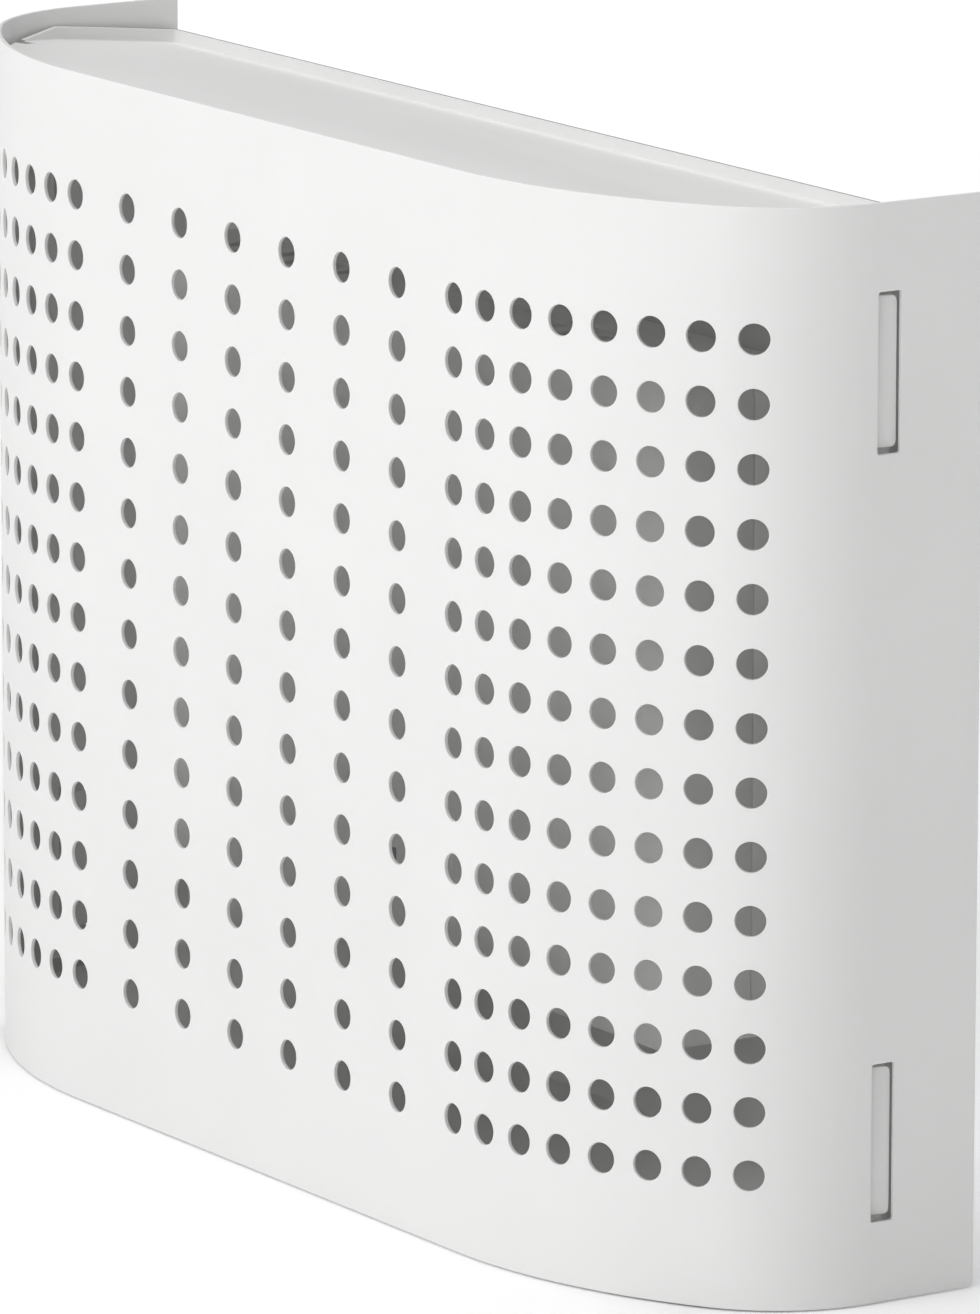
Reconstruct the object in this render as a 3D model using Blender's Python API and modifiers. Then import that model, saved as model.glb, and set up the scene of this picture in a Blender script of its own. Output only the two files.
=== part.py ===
"""Wireless router in a perforated sheet-steel wall housing.

Z is up, the wall is on the +Y side and the cover faces -Y. The origin is under the middle of the
housing, level with the cover's lower rim. All lengths are in metres.

The cover is one sheet that wraps round the front and both sides. It slides onto an inner tray, whose
side walls carry four spring tongues that catch in the cover's slots. The router module hangs on the
tray's back, with its sockets and buttons facing down.
"""

import math

import bmesh
import bpy
from mathutils import Matrix, Vector
from mathutils.geometry import delaunay_2d_cdt

# Housing
WIDTH = 0.330
HEIGHT = 0.240
DEPTH = 0.079
SHEET = 0.001
FRONT_ARC_RADIUS = 0.1194
FRONT_ARC_ANGLE = math.radians(34.2)
CORNER_RADIUS = 0.0369
REAR_CORNER_ROUND = 0.001

# Perforation of the cover
ROWS = 14
ROW_PITCH = 0.014
PATTERN_RISE = 0.0008
NARROW_COLUMNS = 8
NARROW_PITCH = 0.0117
WIDE_COLUMNS = 6
FLAT_MARGIN = 0.0018
HOLE_DIAMETER = 0.0068
HOLE_SIDES = 8
CORNER_FOLDS = 4

# Latch slots and the tongues behind them
SLOT_WIDTH = 0.0058
SLOT_HEIGHT = 0.035
SLOT_SPACING = 0.168
SLOT_DROP = 0.0006
SLOT_FROM_CORNER = 0.0002
TONGUE_LENGTH = 0.0148
TONGUE_HEIGHT = 0.0328
TONGUE_TIP_ROUND = 0.0013
TONGUE_TIP_GAP = 0.0004

# Tray
WALL_INSET = 0.0045
WALL_BEFORE_CORNER = 0.0128
PAN_SIDE_INSET = 0.0022
PAN_FRONT_GAP = 0.001
PAN_DROP = 0.0025
PAN_SLOPE = math.radians(5.9)
PAN_FLANGE = 0.0031
PAN_CHAMFER_GAP = 0.0019
PAN_CHAMFER_TURN = math.radians(15)
PAN_CHAMFER_LENGTH = 0.0137
PAN_NOTCH = 0.002
PAN_TIP_RISE = 0.0005
PANEL_BELOW_FLANGE = 0.0008
CABLE_EXIT = (0.040, 0.020)
CABLE_EXIT_X = 0.132
CABLE_EXIT_DEPTH = 0.061
WALL_ENTRY = (0.054, 0.022)
WALL_ENTRY_X = 0.122
WALL_ENTRY_HEIGHT = 0.030
KEYHOLE_SIDE_INSET = 0.040
KEYHOLE_HEIGHTS = (0.055, 0.195)
KEYHOLE_HEAD = 0.009
KEYHOLE_SHANK = 0.0045
KEYHOLE_RISE = 0.009

# Router module; depths run forward from the housing's back
MODULE_WIDTH = 0.220
MODULE_HEIGHT = 0.150
MODULE_THICKNESS = 0.034
MODULE_BASE = 0.045
MODULE_OFF_WALL = 0.007
REAR_CASE_DEPTH = 0.014
CASE_WALL = 0.002
CASE_ROUND = 0.006
CASE_SCREW_INSET = 0.008
BOARD_OFF_REAR = 0.0060
BOARD_THICKNESS = 0.0016
BOARD_SIDE_INSET = 0.014
BOARD_LOWER_INSET = 0.005
BOARD_UPPER_INSET = 0.011
STANDOFF_INSET = 0.030
CHIP_RISE = 0.070
LIGHT_RISE = 0.023
LIGHT_XS = (-0.015, -0.005, 0.005, 0.015)

# Places across the module, as parts of its width
LAN_PLACE = -0.10
WAN_PLACE = 0.14
POWER_JACK_PLACE = -0.40
POWER_BUTTON_PLACE = -0.31
WPS_BUTTON_PLACE = 0.255
RESET_BUTTON_PLACE = 0.335
RADIO_PLACE = 0.29
ANTENNA_PLACES = (-0.355, -0.12, 0.12, 0.355)

# Vents in the top of the module, as many on each side of its middle
VENT_COUNT = 6
VENT_PITCH = 0.009
VENT_WIDTH = 0.004
VENT_MARGIN = 0.004

# Sockets and buttons
LAN_PITCH = 0.0150
LAN_PORTS = 4
SOCKET_SURROUND = 0.002
POWER_JACK_WIDTH = 0.011
JACK_DEPTH = 0.0139
JACK_RISE = 0.016
BUTTON_OFF_BOARD = 0.0046
POWER_TRAVEL = 0.0015

# Fits
GAP = 0.0003
PORT_CLEARANCE = 0.0005
SCREW_SHANK = 0.0024
SCREW_HOLE = 0.0032
ROUND_STEPS = 16

HALF_FLAT = (WIDTH - SHEET) / 2 - FRONT_ARC_RADIUS * math.sin(FRONT_ARC_ANGLE) \
    - CORNER_RADIUS * (1 - math.sin(FRONT_ARC_ANGLE))
WIDE_PITCH = (HALF_FLAT - FLAT_MARGIN) / (WIDE_COLUMNS / 2 + 0.5)
CORNER_X = (WIDTH - SHEET) / 2 - CORNER_RADIUS
CORNER_DEPTH = SHEET / 2 + FRONT_ARC_RADIUS * (1 - math.cos(FRONT_ARC_ANGLE)) \
    + CORNER_RADIUS * math.cos(FRONT_ARC_ANGLE)
S_CORNER = HALF_FLAT + FRONT_ARC_RADIUS * FRONT_ARC_ANGLE
S_SIDE = S_CORNER + CORNER_RADIUS * (math.pi / 2 - FRONT_ARC_ANGLE)
S_END = S_SIDE + DEPTH - CORNER_DEPTH
MIDDLE = HEIGHT / 2
SLOT_MIDDLE = MIDDLE - SLOT_DROP
WALL_X = WIDTH / 2 - WALL_INSET
SLOT_DEPTH = CORNER_DEPTH + SLOT_FROM_CORNER + SLOT_WIDTH / 2
TONGUE_TIP_DEPTH = SLOT_DEPTH + SLOT_WIDTH / 2 - TONGUE_TIP_GAP
TONGUE_ROOT_DEPTH = TONGUE_TIP_DEPTH - TONGUE_LENGTH
TONGUE_SPREAD = WIDTH / 2 - SHEET - GAP - WALL_X
WALL_FRONT = CORNER_DEPTH - WALL_BEFORE_CORNER
MODULE_REAR = DEPTH - MODULE_OFF_WALL
MODULE_FRONT = MODULE_REAR - MODULE_THICKNESS
MODULE_SPLIT = MODULE_REAR - REAR_CASE_DEPTH
MODULE_TOP = MODULE_BASE + MODULE_HEIGHT
BOARD_FACE = MODULE_REAR - BOARD_OFF_REAR - BOARD_THICKNESS
BOARD_HALF_WIDTH = MODULE_WIDTH / 2 - BOARD_SIDE_INSET
BOARD_BOTTOM = MODULE_BASE + BOARD_LOWER_INSET
BOARD_TOP = MODULE_TOP - BOARD_UPPER_INSET
CHIP_HEIGHT = MODULE_BASE + CHIP_RISE
LIGHT_HEIGHT = MODULE_BASE + LIGHT_RISE
JACK_FRONT = BOARD_FACE - JACK_DEPTH
JACK_TOP = MODULE_BASE + JACK_RISE
BUTTON_DEPTH = BOARD_FACE - BUTTON_OFF_BOARD
LAN_WIDTH = LAN_PITCH * LAN_PORTS + SOCKET_SURROUND
WAN_WIDTH = LAN_PITCH + SOCKET_SURROUND
LAN_X = LAN_PLACE * MODULE_WIDTH
WAN_X = WAN_PLACE * MODULE_WIDTH
POWER_JACK_X = POWER_JACK_PLACE * MODULE_WIDTH
POWER_BUTTON_X = POWER_BUTTON_PLACE * MODULE_WIDTH
WPS_BUTTON_X = WPS_BUTTON_PLACE * MODULE_WIDTH
RESET_BUTTON_X = RESET_BUTTON_PLACE * MODULE_WIDTH
RADIO_X = RADIO_PLACE * MODULE_WIDTH
RADIO_HEIGHT = CHIP_HEIGHT + 0.010


def four_places(half_width, low, high):
    """(x, z) of four fixings: lower left, lower right, upper left, upper right."""
    return [(x, z) for z in (low, high) for x in (-half_width, half_width)]


CASE_SCREWS = four_places(MODULE_WIDTH / 2 - CASE_SCREW_INSET, MODULE_BASE + CASE_SCREW_INSET,
                          MODULE_TOP - CASE_SCREW_INSET)
BOARD_SCREWS = four_places(BOARD_HALF_WIDTH - 0.006, BOARD_BOTTOM + 0.026, BOARD_TOP - 0.008)
STANDOFFS = four_places(MODULE_WIDTH / 2 - STANDOFF_INSET, MODULE_BASE + STANDOFF_INSET - 0.010,
                        MODULE_TOP - STANDOFF_INSET)
KEYHOLES = four_places(WIDTH / 2 - KEYHOLE_SIDE_INSET, *KEYHOLE_HEIGHTS)


def clear_scene():
    for obj in list(bpy.data.objects):
        bpy.data.objects.remove(obj)


def collection(name):
    made = bpy.data.collections.new(name)
    bpy.context.scene.collection.children.link(made)
    return made


clear_scene()
PARTS = collection("wireless_router")
CUTTERS = collection("cutters")


def material(name, colour, roughness, metallic=0.0):
    made = bpy.data.materials.new(name)
    made.use_nodes = True
    shader = made.node_tree.nodes["Principled BSDF"]
    shader.inputs["Base Color"].default_value = (*colour, 1.0)
    shader.inputs["Roughness"].default_value = roughness
    shader.inputs["Metallic"].default_value = metallic
    return made


def add_object(name, mesh, look=None, place=(0.0, 0.0, 0.0), smooth=False):
    """A part when it has a look, and otherwise a cutter."""
    obj = bpy.data.objects.new(name, mesh)
    obj.location = place
    if look is None:
        CUTTERS.objects.link(obj)
        obj.hide_render = True
        obj.display_type = "WIRE"
        return obj
    PARTS.objects.link(obj)
    mesh.materials.append(look)
    if smooth:
        mesh.shade_smooth()
        mesh.set_sharp_from_angle(angle=math.radians(35))
    return obj


def at(x, depth, z):
    """A point given by its depth behind the cover's front face."""
    return Vector((x, depth - DEPTH / 2, z))


def boxes_mesh(name, boxes):
    """One mesh of upright boxes, each given as (low corner, high corner)."""
    bm = bmesh.new()
    for low, high in boxes:
        low, high = Vector(low), Vector(high)
        size = Matrix.Diagonal((*(high - low), 1.0))
        bmesh.ops.create_cube(bm, size=1.0, matrix=Matrix.Translation((low + high) / 2) @ size)
    mesh = bpy.data.meshes.new(name)
    bm.to_mesh(mesh)
    bm.free()
    return mesh


def box(x, depth, z):
    """The two corners of a box, from its three (low, high) ranges."""
    return at(x[0], depth[0], z[0]), at(x[1], depth[1], z[1])


def around(centre, size):
    return centre - size / 2, centre + size / 2


def rods_mesh(name, rods, sides=12):
    """One mesh of round rods along Y, each (x, z, radius, (depth from, depth to))."""
    bm = bmesh.new()
    for x, z, radius, depth in rods:
        turn = Matrix.Rotation(math.pi / 2, 4, "X")
        place = Matrix.Translation(at(x, sum(depth) / 2, z))
        bmesh.ops.create_cone(bm, cap_ends=True, segments=sides, radius1=radius, radius2=radius,
                              depth=depth[1] - depth[0], matrix=place @ turn)
    mesh = bpy.data.meshes.new(name)
    bm.to_mesh(mesh)
    bm.free()
    return mesh


def boolean(obj, tool, operation="DIFFERENCE"):
    modifier = obj.modifiers.new(tool.name, "BOOLEAN")
    modifier.object = tool
    modifier.operation = operation
    modifier.solver = "EXACT"


def solidify(obj, thickness, offset):
    modifier = obj.modifiers.new("sheet", "SOLIDIFY")
    modifier.thickness = thickness
    modifier.offset = offset
    modifier.use_even_offset = True


def outline_curve(name, loops, half_thickness=0.0):
    """A filled flat curve; the first loop is the edge and the others are holes."""
    curve = bpy.data.curves.new(name, "CURVE")
    curve.dimensions = "2D"
    curve.fill_mode = "BOTH"
    curve.extrude = half_thickness
    for loop in loops:
        spline = curve.splines.new("POLY")
        spline.points.add(len(loop) - 1)
        for point, (u, w) in zip(spline.points, loop):
            point.co = (u, w, 0.0, 1.0)
        spline.use_cyclic_u = True
    return curve


def mesh_of_curve(curve, name):
    """The curve as a mesh whose loose caps are welded."""
    guide = bpy.data.objects.new(name, curve)
    mesh = bpy.data.meshes.new_from_object(guide)
    bpy.data.objects.remove(guide)
    bpy.data.curves.remove(curve)
    mesh.name = name
    bm = bmesh.new()
    bm.from_mesh(mesh)
    bmesh.ops.remove_doubles(bm, verts=bm.verts, dist=1e-6)
    bm.to_mesh(mesh)
    bm.free()
    return mesh


def polygon(u, w, radius, sides):
    """A round hole as a polygon of the same area, with flats across and upright."""
    reach = radius * math.sqrt(2 * math.pi / (sides * math.sin(2 * math.pi / sides)))
    turns = [2 * math.pi * (k + 0.5) / sides for k in range(sides)]
    return [(u + reach * math.cos(t), w + reach * math.sin(t)) for t in turns]


def rectangle(u, w, width, height):
    return [(u - width / 2, w - height / 2), (u + width / 2, w - height / 2),
            (u + width / 2, w + height / 2), (u - width / 2, w + height / 2)]


def arc(u, w, radius, start, end, steps):
    turns = [math.radians(start + (end - start) * k / steps) for k in range(steps + 1)]
    return [(u + radius * math.cos(t), w + radius * math.sin(t)) for t in turns]


def keyhole(u, w):
    """A round screw-head hole with a narrower slot rising from it."""
    half = math.degrees(math.asin(KEYHOLE_SHANK / KEYHOLE_HEAD))
    head = arc(u, w, KEYHOLE_HEAD / 2, 90 + half, 450 - half, 10)
    return head + arc(u, w + KEYHOLE_RISE, KEYHOLE_SHANK / 2, 0, 180, 4)


def anticlockwise(loop):
    """The loop in the order that gives it a positive area."""
    turns = zip(loop, loop[1:] + loop[:1])
    area = sum(u0 * w1 - u1 * w0 for (u0, w0), (u1, w1) in turns)
    return loop if area > 0 else loop[::-1]


def filled_strip(name, loops):
    """Even triangles between an edge, the first loop, and the holes inside it."""
    points, outlines = [], []
    for loop in map(anticlockwise, loops):
        outlines.append(range(len(points), len(points) + len(loop)))
        points += [Vector(point) for point in loop]
    corners, _, faces, _, _, origins = delaunay_2d_cdt(points, [], outlines, 1, 1e-7)
    solid = [face for face, origin in zip(faces, origins) if origin == [0]]
    mesh = bpy.data.meshes.new(name)
    mesh.from_pydata([point.to_3d() for point in corners], [], solid)
    return mesh


def folded_sheet(name, strips, path, look, offset):
    """A bent sheet. Each strip is a flat outline with holes, in lengths along the plan path and
    heights, and path lists the folds as (length, plan point)."""
    bm = bmesh.new()
    for loops in strips:
        flat = filled_strip(name, loops)
        bm.from_mesh(flat)
        bpy.data.meshes.remove(flat)
    bmesh.ops.remove_doubles(bm, verts=bm.verts, dist=1e-6)
    for vert in bm.verts:
        vert.co = along(path, vert.co.x).to_3d() + Vector((0.0, 0.0, vert.co.y))
    mesh = bpy.data.meshes.new(name)
    bm.to_mesh(mesh)
    bm.free()
    obj = add_object(name, mesh, look)
    solidify(obj, SHEET, offset)
    return obj


def along(path, length):
    """The plan point at a length, on the straight run between the two folds beside it."""
    for (s0, p0), (s1, p1) in zip(path, path[1:]):
        if length <= s1 or s1 == path[-1][0]:
            return p0.lerp(p1, (length - s0) / (s1 - s0))


def cover_point(s, inward=0.0):
    """Plan point at developed length s from the middle of the cover, moved in from mid-sheet."""
    length = abs(s)
    if length <= HALF_FLAT:
        turn, x, depth = 0.0, length, SHEET / 2
    elif length <= S_CORNER:
        turn = (length - HALF_FLAT) / FRONT_ARC_RADIUS
        x = HALF_FLAT + FRONT_ARC_RADIUS * math.sin(turn)
        depth = SHEET / 2 + FRONT_ARC_RADIUS * (1 - math.cos(turn))
    else:
        turn = min(FRONT_ARC_ANGLE + (length - S_CORNER) / CORNER_RADIUS, math.pi / 2)
        x = CORNER_X + CORNER_RADIUS * math.sin(turn)
        depth = CORNER_DEPTH - CORNER_RADIUS * math.cos(turn) + max(length - S_SIDE, 0.0)
    x -= inward * math.sin(turn)
    depth += inward * math.cos(turn)
    return Vector((math.copysign(x, s), depth - DEPTH / 2))


def cover_folds():
    """Developed lengths of the folds on one side: between narrow columns, then round the corner."""
    first = WIDE_PITCH * (WIDE_COLUMNS / 2 + 0.5)
    folds = [first + NARROW_PITCH * (k + 0.5) for k in range(NARROW_COLUMNS)]
    step = (S_SIDE - folds[-1]) / CORNER_FOLDS
    return folds + [folds[-1] + step * (k + 1) for k in range(CORNER_FOLDS)]


def hole_columns():
    """Developed lengths of all columns of holes, left to right."""
    wide = [WIDE_PITCH * (k - (WIDE_COLUMNS - 1) / 2) for k in range(WIDE_COLUMNS)]
    first = WIDE_PITCH * (WIDE_COLUMNS / 2 + 0.5)
    narrow = [first + NARROW_PITCH * k for k in range(NARROW_COLUMNS)]
    return [-s for s in reversed(narrow)] + wide + narrow


def cover_strip(s0, s1):
    """Edge and holes of the cover between two neighbouring folds."""
    edge = [(s0, 0.0), (s1, 0.0), (s1, HEIGHT), (s0, HEIGHT)]
    rows = [MIDDLE + PATTERN_RISE + ROW_PITCH * (k - (ROWS - 1) / 2) for k in range(ROWS)]
    columns = [s for s in hole_columns() if s0 < s < s1]
    return [edge] + [polygon(s, z, HOLE_DIAMETER / 2, HOLE_SIDES) for s in columns for z in rows]


def cover_side(sign):
    """Edge and latch slots of a flat side panel, with its rear corners rounded."""
    r = REAR_CORNER_ROUND
    edge = [(S_SIDE, 0.0)] + arc(S_END - r, r, r, -90, 0, 3)
    edge += arc(S_END - r, HEIGHT - r, r, 0, 90, 3) + [(S_SIDE, HEIGHT)]
    s = S_SIDE + SLOT_DEPTH - CORNER_DEPTH
    slots = [rectangle(s, SLOT_MIDDLE + k * SLOT_SPACING / 2, SLOT_WIDTH, SLOT_HEIGHT) for k in (-1, 1)]
    return [[(sign * u, w) for u, w in loop] for loop in [edge] + slots]


def fold_point(s):
    """Plan point of a fold. The two beside the flat front stay in its plane."""
    point = cover_point(s)
    if abs(s) <= cover_folds()[0]:
        point.y = cover_point(0.0).y
    return point


def front_cover(look):
    """The perforated front and both sides, bent from one sheet."""
    folds = cover_folds()
    lengths = [-s for s in reversed(folds)] + folds
    strips = [cover_strip(s0, s1) for s0, s1 in zip(lengths, lengths[1:])]
    strips += [cover_side(-1), cover_side(1)]
    lengths = [-S_END] + lengths + [S_END]
    path = [(s, fold_point(s)) for s in lengths]
    folded_sheet("front_cover", strips, path, look, offset=0.0)


def pan_height(depth):
    """Height of the upper plate's top face, which falls towards the wall."""
    return HEIGHT - PAN_DROP - math.tan(PAN_SLOPE) * depth


def tray_wall_loops(sign, length, low, high):
    """A side wall of the tray, with a window behind each tongue."""
    centre = (TONGUE_ROOT_DEPTH + SLOT_DEPTH + SLOT_WIDTH / 2) / 2 - WALL_FRONT
    width = SLOT_DEPTH + SLOT_WIDTH / 2 - TONGUE_ROOT_DEPTH + 2 * GAP
    edge = [(0.0, low), (length, low), (length, high), (0.0, high)]
    tall = SLOT_HEIGHT + 2 * SHEET
    windows = [rectangle(centre, SLOT_MIDDLE + k * SLOT_SPACING / 2, width, tall)
               for k in (-1, 1)]
    start = -WALL_X + SHEET / 2 - length
    return [[(sign * (start + u), w) for u, w in loop] for loop in [edge] + windows]


def back_loops(half, low, high):
    """The tray's back: full height between the side walls, keyholes and a cable entry."""
    top = pan_height(DEPTH) + PAN_FLANGE - PANEL_BELOW_FLANGE
    relief = 2 * SHEET + CASE_WALL
    right = [(half, low), (half, high), (half - relief, high), (half - relief, top)]
    left = [(-u, w) for u, w in reversed(right)]
    foot = [(-half + relief, low), (-half + relief, HEIGHT - top),
            (half - relief, HEIGHT - top), (half - relief, low)]
    entry = rectangle(WALL_ENTRY_X, WALL_ENTRY_HEIGHT, *WALL_ENTRY)
    return [right + left + foot, entry] + [keyhole(x, z) for x, z in KEYHOLES]


def back_panel(look):
    """Back and side walls of the tray, one sheet bent into a U in plan."""
    half = WALL_X - SHEET / 2
    length = DEPTH - SHEET / 2 - WALL_FRONT
    high = pan_height(DEPTH) - SHEET - GAP
    low = HEIGHT - high
    strips = [tray_wall_loops(1, length, low, high), back_loops(half, low, high),
              tray_wall_loops(-1, length, low, high)]
    front, rear = WALL_FRONT - DEPTH / 2, (DEPTH - SHEET) / 2
    path = [(-half - length, Vector((-half, front))), (-half, Vector((-half, rear))),
            (half, Vector((half, rear))), (half + length, Vector((half, front)))]
    folded_sheet("back_panel", strips, path, look, offset=0.0)


def pan_edge():
    """Half of a pan's outline, from the middle of the front to the middle of the rear."""
    inset = SHEET / 2 + PAN_FRONT_GAP
    last = S_CORNER + CORNER_RADIUS * PAN_CHAMFER_TURN
    arc_steps = 6
    lengths = [HALF_FLAT + (last - HALF_FLAT) * k / arc_steps for k in range(arc_steps + 1)]
    front = [cover_point(s, inset) for s in lengths]
    chamfer = cover_point(last + 2 * PAN_NOTCH, inset + PAN_CHAMFER_GAP / 2)
    inward = Vector((-PAN_NOTCH, PAN_NOTCH))
    notch = [front[-1] + inward, chamfer + inward, chamfer]
    side = WIDTH / 2 - PAN_SIDE_INSET - SHEET
    rear = DEPTH / 2 - 2 * SHEET - GAP
    run = math.sqrt(PAN_CHAMFER_LENGTH ** 2 - (side - chamfer.x) ** 2)
    corner = Vector((side, chamfer.y + run))
    return [(p.x, p.y) for p in front + notch + [corner]] + [(side, rear)]


def pan(name, look, upside_down, holes):
    """A shallow pan that closes the tray, with upturned edges that taper off along its chamfers."""
    right = pan_edge()
    outline = right + [(-x, y) for x, y in reversed(right)]
    mesh = mesh_of_curve(outline_curve(name, [outline] + holes), name)
    bm = bmesh.new()
    bm.from_mesh(mesh)
    raised = [edge for edge in bm.edges if edge.is_boundary and on_flange(edge, right)]
    lifted = bmesh.ops.extrude_edge_only(bm, edges=raised)["geom"]
    tops = {vert for vert in lifted if isinstance(vert, bmesh.types.BMVert)}
    for vert in bm.verts:
        vert.co.z = pan_height(vert.co.y + DEPTH / 2)
        if vert in tops:
            vert.co.z += PAN_TIP_RISE if vert.co.y < right[-2][1] - 1e-6 else PAN_FLANGE
    bmesh.ops.recalc_face_normals(bm, faces=bm.faces)
    if upside_down:
        for vert in bm.verts:
            vert.co.z = HEIGHT - vert.co.z
    bm.normal_update()
    plate = max(bm.faces, key=lambda face: abs(face.normal.z) * face.calc_area())
    if (plate.normal.z < 0) != upside_down:
        bmesh.ops.reverse_faces(bm, faces=bm.faces)
    bm.to_mesh(mesh)
    bm.free()
    obj = add_object(name, mesh, look)
    solidify(obj, SHEET, -1.0)


def on_flange(edge, right):
    """Whether an edge lies on a pan's chamfer, its straight side or its rear."""
    near = 1e-6
    (tip_x, tip_y), rear = right[-3], right[-1][1]
    ends = [vert.co for vert in edge.verts]
    at_side = all(abs(p.x) > tip_x - near and p.y > tip_y - near for p in ends)
    return at_side or all(abs(p.y - rear) < near for p in ends)


def tongues(look):
    """Four latch tongues, hinged at their roots in the tray's side walls."""
    slant = math.atan2(TONGUE_SPREAD, TONGUE_LENGTH)
    length = math.hypot(TONGUE_SPREAD, TONGUE_LENGTH)
    r, half = TONGUE_TIP_ROUND, TONGUE_HEIGHT / 2
    edge = [(0.0, -half)] + arc(length - r, r - half, r, -90, 0, 3)
    edge += arc(length - r, half - r, r, 0, 90, 3) + [(0.0, half)]
    for side, sign in (("left", -1), ("right", 1)):
        for level, up in (("lower", -1), ("upper", 1)):
            name = f"latch_tongue_{side}_{level}"
            mesh = mesh_of_curve(outline_curve(name, [edge], SHEET / 2), name)
            upright = Matrix(((0, 0, 1), (1, 0, 0), (0, 1, 0))).to_4x4()
            mesh.transform(Matrix.Rotation(-sign * slant, 4, "Z") @ upright)
            root = at(sign * (WALL_X - SHEET / 2), TONGUE_ROOT_DEPTH + GAP,
                      SLOT_MIDDLE + up * SLOT_SPACING / 2)
            add_object(name, mesh, look, root)


def half_shell(name, near, far, open_front, look):
    """Half of the module's case: a box with rounded upright corners and one open face."""
    low = at(-MODULE_WIDTH / 2, near, MODULE_BASE)
    high = at(MODULE_WIDTH / 2, far, MODULE_BASE + MODULE_HEIGHT)
    mesh = boxes_mesh(name, [(low, high)])
    bm = bmesh.new()
    bm.from_mesh(mesh)
    open_y = low.y if open_front else high.y
    lid = [face for face in bm.faces if abs(face.calc_center_median().y - open_y) < 1e-6]
    bmesh.ops.delete(bm, geom=lid, context="FACES_ONLY")
    ridges = [edge for edge in bm.edges if abs(edge.verts[0].co.y - edge.verts[1].co.y) > 1e-6]
    bmesh.ops.bevel(bm, geom=ridges, offset=CASE_ROUND, segments=3, profile=0.5, affect="EDGES")
    bm.to_mesh(mesh)
    bm.free()
    obj = add_object(name, mesh, look)
    solidify(obj, CASE_WALL, -1.0)
    return obj


def port_boxes():
    """The places of all sockets and buttons in the module's lower wall, with their clearance."""
    c = PORT_CLEARANCE
    wall = (MODULE_BASE - CASE_WALL, MODULE_BASE + 2 * CASE_WALL)
    found = []
    for x, width in ((LAN_X, LAN_WIDTH), (WAN_X, WAN_WIDTH), (POWER_JACK_X, POWER_JACK_WIDTH)):
        sides = (x - width / 2 - c, x + width / 2 + c)
        found.append(box(sides, (JACK_FRONT - c, BOARD_FACE - GAP + c), wall))
    for x, reach in ((POWER_BUTTON_X, 0.004), (WPS_BUTTON_X, 0.003), (RESET_BUTTON_X, 0.0015)):
        reach += c
        found.append(box((x - reach, x + reach), (BUTTON_DEPTH - reach, BUTTON_DEPTH + reach), wall))
    return found


def module_case(look):
    """Both halves of the module's case, with bosses, screw holes, vents and port openings."""
    rear = half_shell("module_rear_case", MODULE_SPLIT, MODULE_REAR, True, look)
    front = half_shell("module_front_case", MODULE_FRONT, MODULE_SPLIT - GAP, False, look)
    inner_front, inner_rear = MODULE_FRONT + CASE_WALL / 2, MODULE_REAR - CASE_WALL / 2
    posts = [(x, z, 0.0035, (inner_front, inner_rear - CASE_WALL / 2 - GAP)) for x, z in CASE_SCREWS]
    boolean(front, add_object("case_posts", rods_mesh("case_posts", posts)), "UNION")
    bosses = [(x, z, 0.003, (BOARD_FACE + BOARD_THICKNESS + GAP, inner_rear)) for x, z in BOARD_SCREWS]
    boolean(rear, add_object("board_bosses", rods_mesh("board_bosses", bosses)), "UNION")
    deep = [(x, z, SCREW_HOLE / 2, (MODULE_REAR - 0.022, MODULE_REAR + CASE_WALL))
            for x, z in CASE_SCREWS]
    pilot = [(x, z, SCREW_HOLE / 2, (BOARD_FACE, MODULE_REAR + CASE_WALL)) for x, z in BOARD_SCREWS]
    holes = add_object("case_screw_holes", rods_mesh("case_screw_holes", deep))
    ports = add_object("port_openings", boxes_mesh("port_openings", port_boxes()))
    for shell in (front, rear):
        boolean(shell, holes)
        boolean(shell, ports)
    boolean(rear, add_object("board_screw_holes", rods_mesh("board_screw_holes", pilot)))
    boolean(front, add_object("case_vents", boxes_mesh("case_vents", vent_boxes())))


def vent_boxes():
    """Slots for air in the top of the case, and the windows of the status lights."""
    roof = (MODULE_TOP - 2 * CASE_WALL, MODULE_TOP + CASE_WALL)
    depth = (MODULE_FRONT + VENT_MARGIN, MODULE_SPLIT - GAP - VENT_MARGIN)
    found = []
    for side in (-1, 1):
        for k in range(VENT_COUNT):
            x = side * RADIO_X + VENT_PITCH * (k - (VENT_COUNT - 1) / 2)
            found.append(box(around(x, VENT_WIDTH), depth, roof))
    through = (MODULE_FRONT - CASE_WALL, MODULE_FRONT + 2 * CASE_WALL)
    for x in LIGHT_XS:
        window = around(LIGHT_HEIGHT, 0.0034)
        found.append(box(around(x, 0.0034), through, window))
    return found


def main_board(look):
    """The circuit board, with a clearance hole for each of its screws."""
    depth = (BOARD_FACE, BOARD_FACE + BOARD_THICKNESS)
    plate = box((-BOARD_HALF_WIDTH, BOARD_HALF_WIDTH), depth, (BOARD_BOTTOM, BOARD_TOP))
    board = add_object("main_board", boxes_mesh("main_board", [plate]), look)
    through = (BOARD_FACE - 0.002, BOARD_FACE + 0.004)
    holes = [(x, z, SCREW_HOLE / 2, through) for x, z in BOARD_SCREWS]
    boolean(board, add_object("board_holes", rods_mesh("board_holes", holes)))


def turned(name, profile, look, place, axis="Z"):
    """A body turned about its own Z or Y axis, from (radius, height) points, top to bottom."""
    mesh = bpy.data.meshes.new(name)
    points = [(radius, 0.0, height) for radius, height in profile]
    mesh.from_pydata(points, [(k, k + 1) for k in range(len(points) - 1)], [])
    obj = add_object(name, mesh, look, place, smooth=True)
    if axis == "Y":
        obj.rotation_euler.x = -math.pi / 2
    screw = obj.modifiers.new("turn", "SCREW")
    screw.steps = ROUND_STEPS
    screw.render_steps = ROUND_STEPS
    screw.use_merge_vertices = True
    screw.merge_threshold = 1e-6
    return obj


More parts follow.
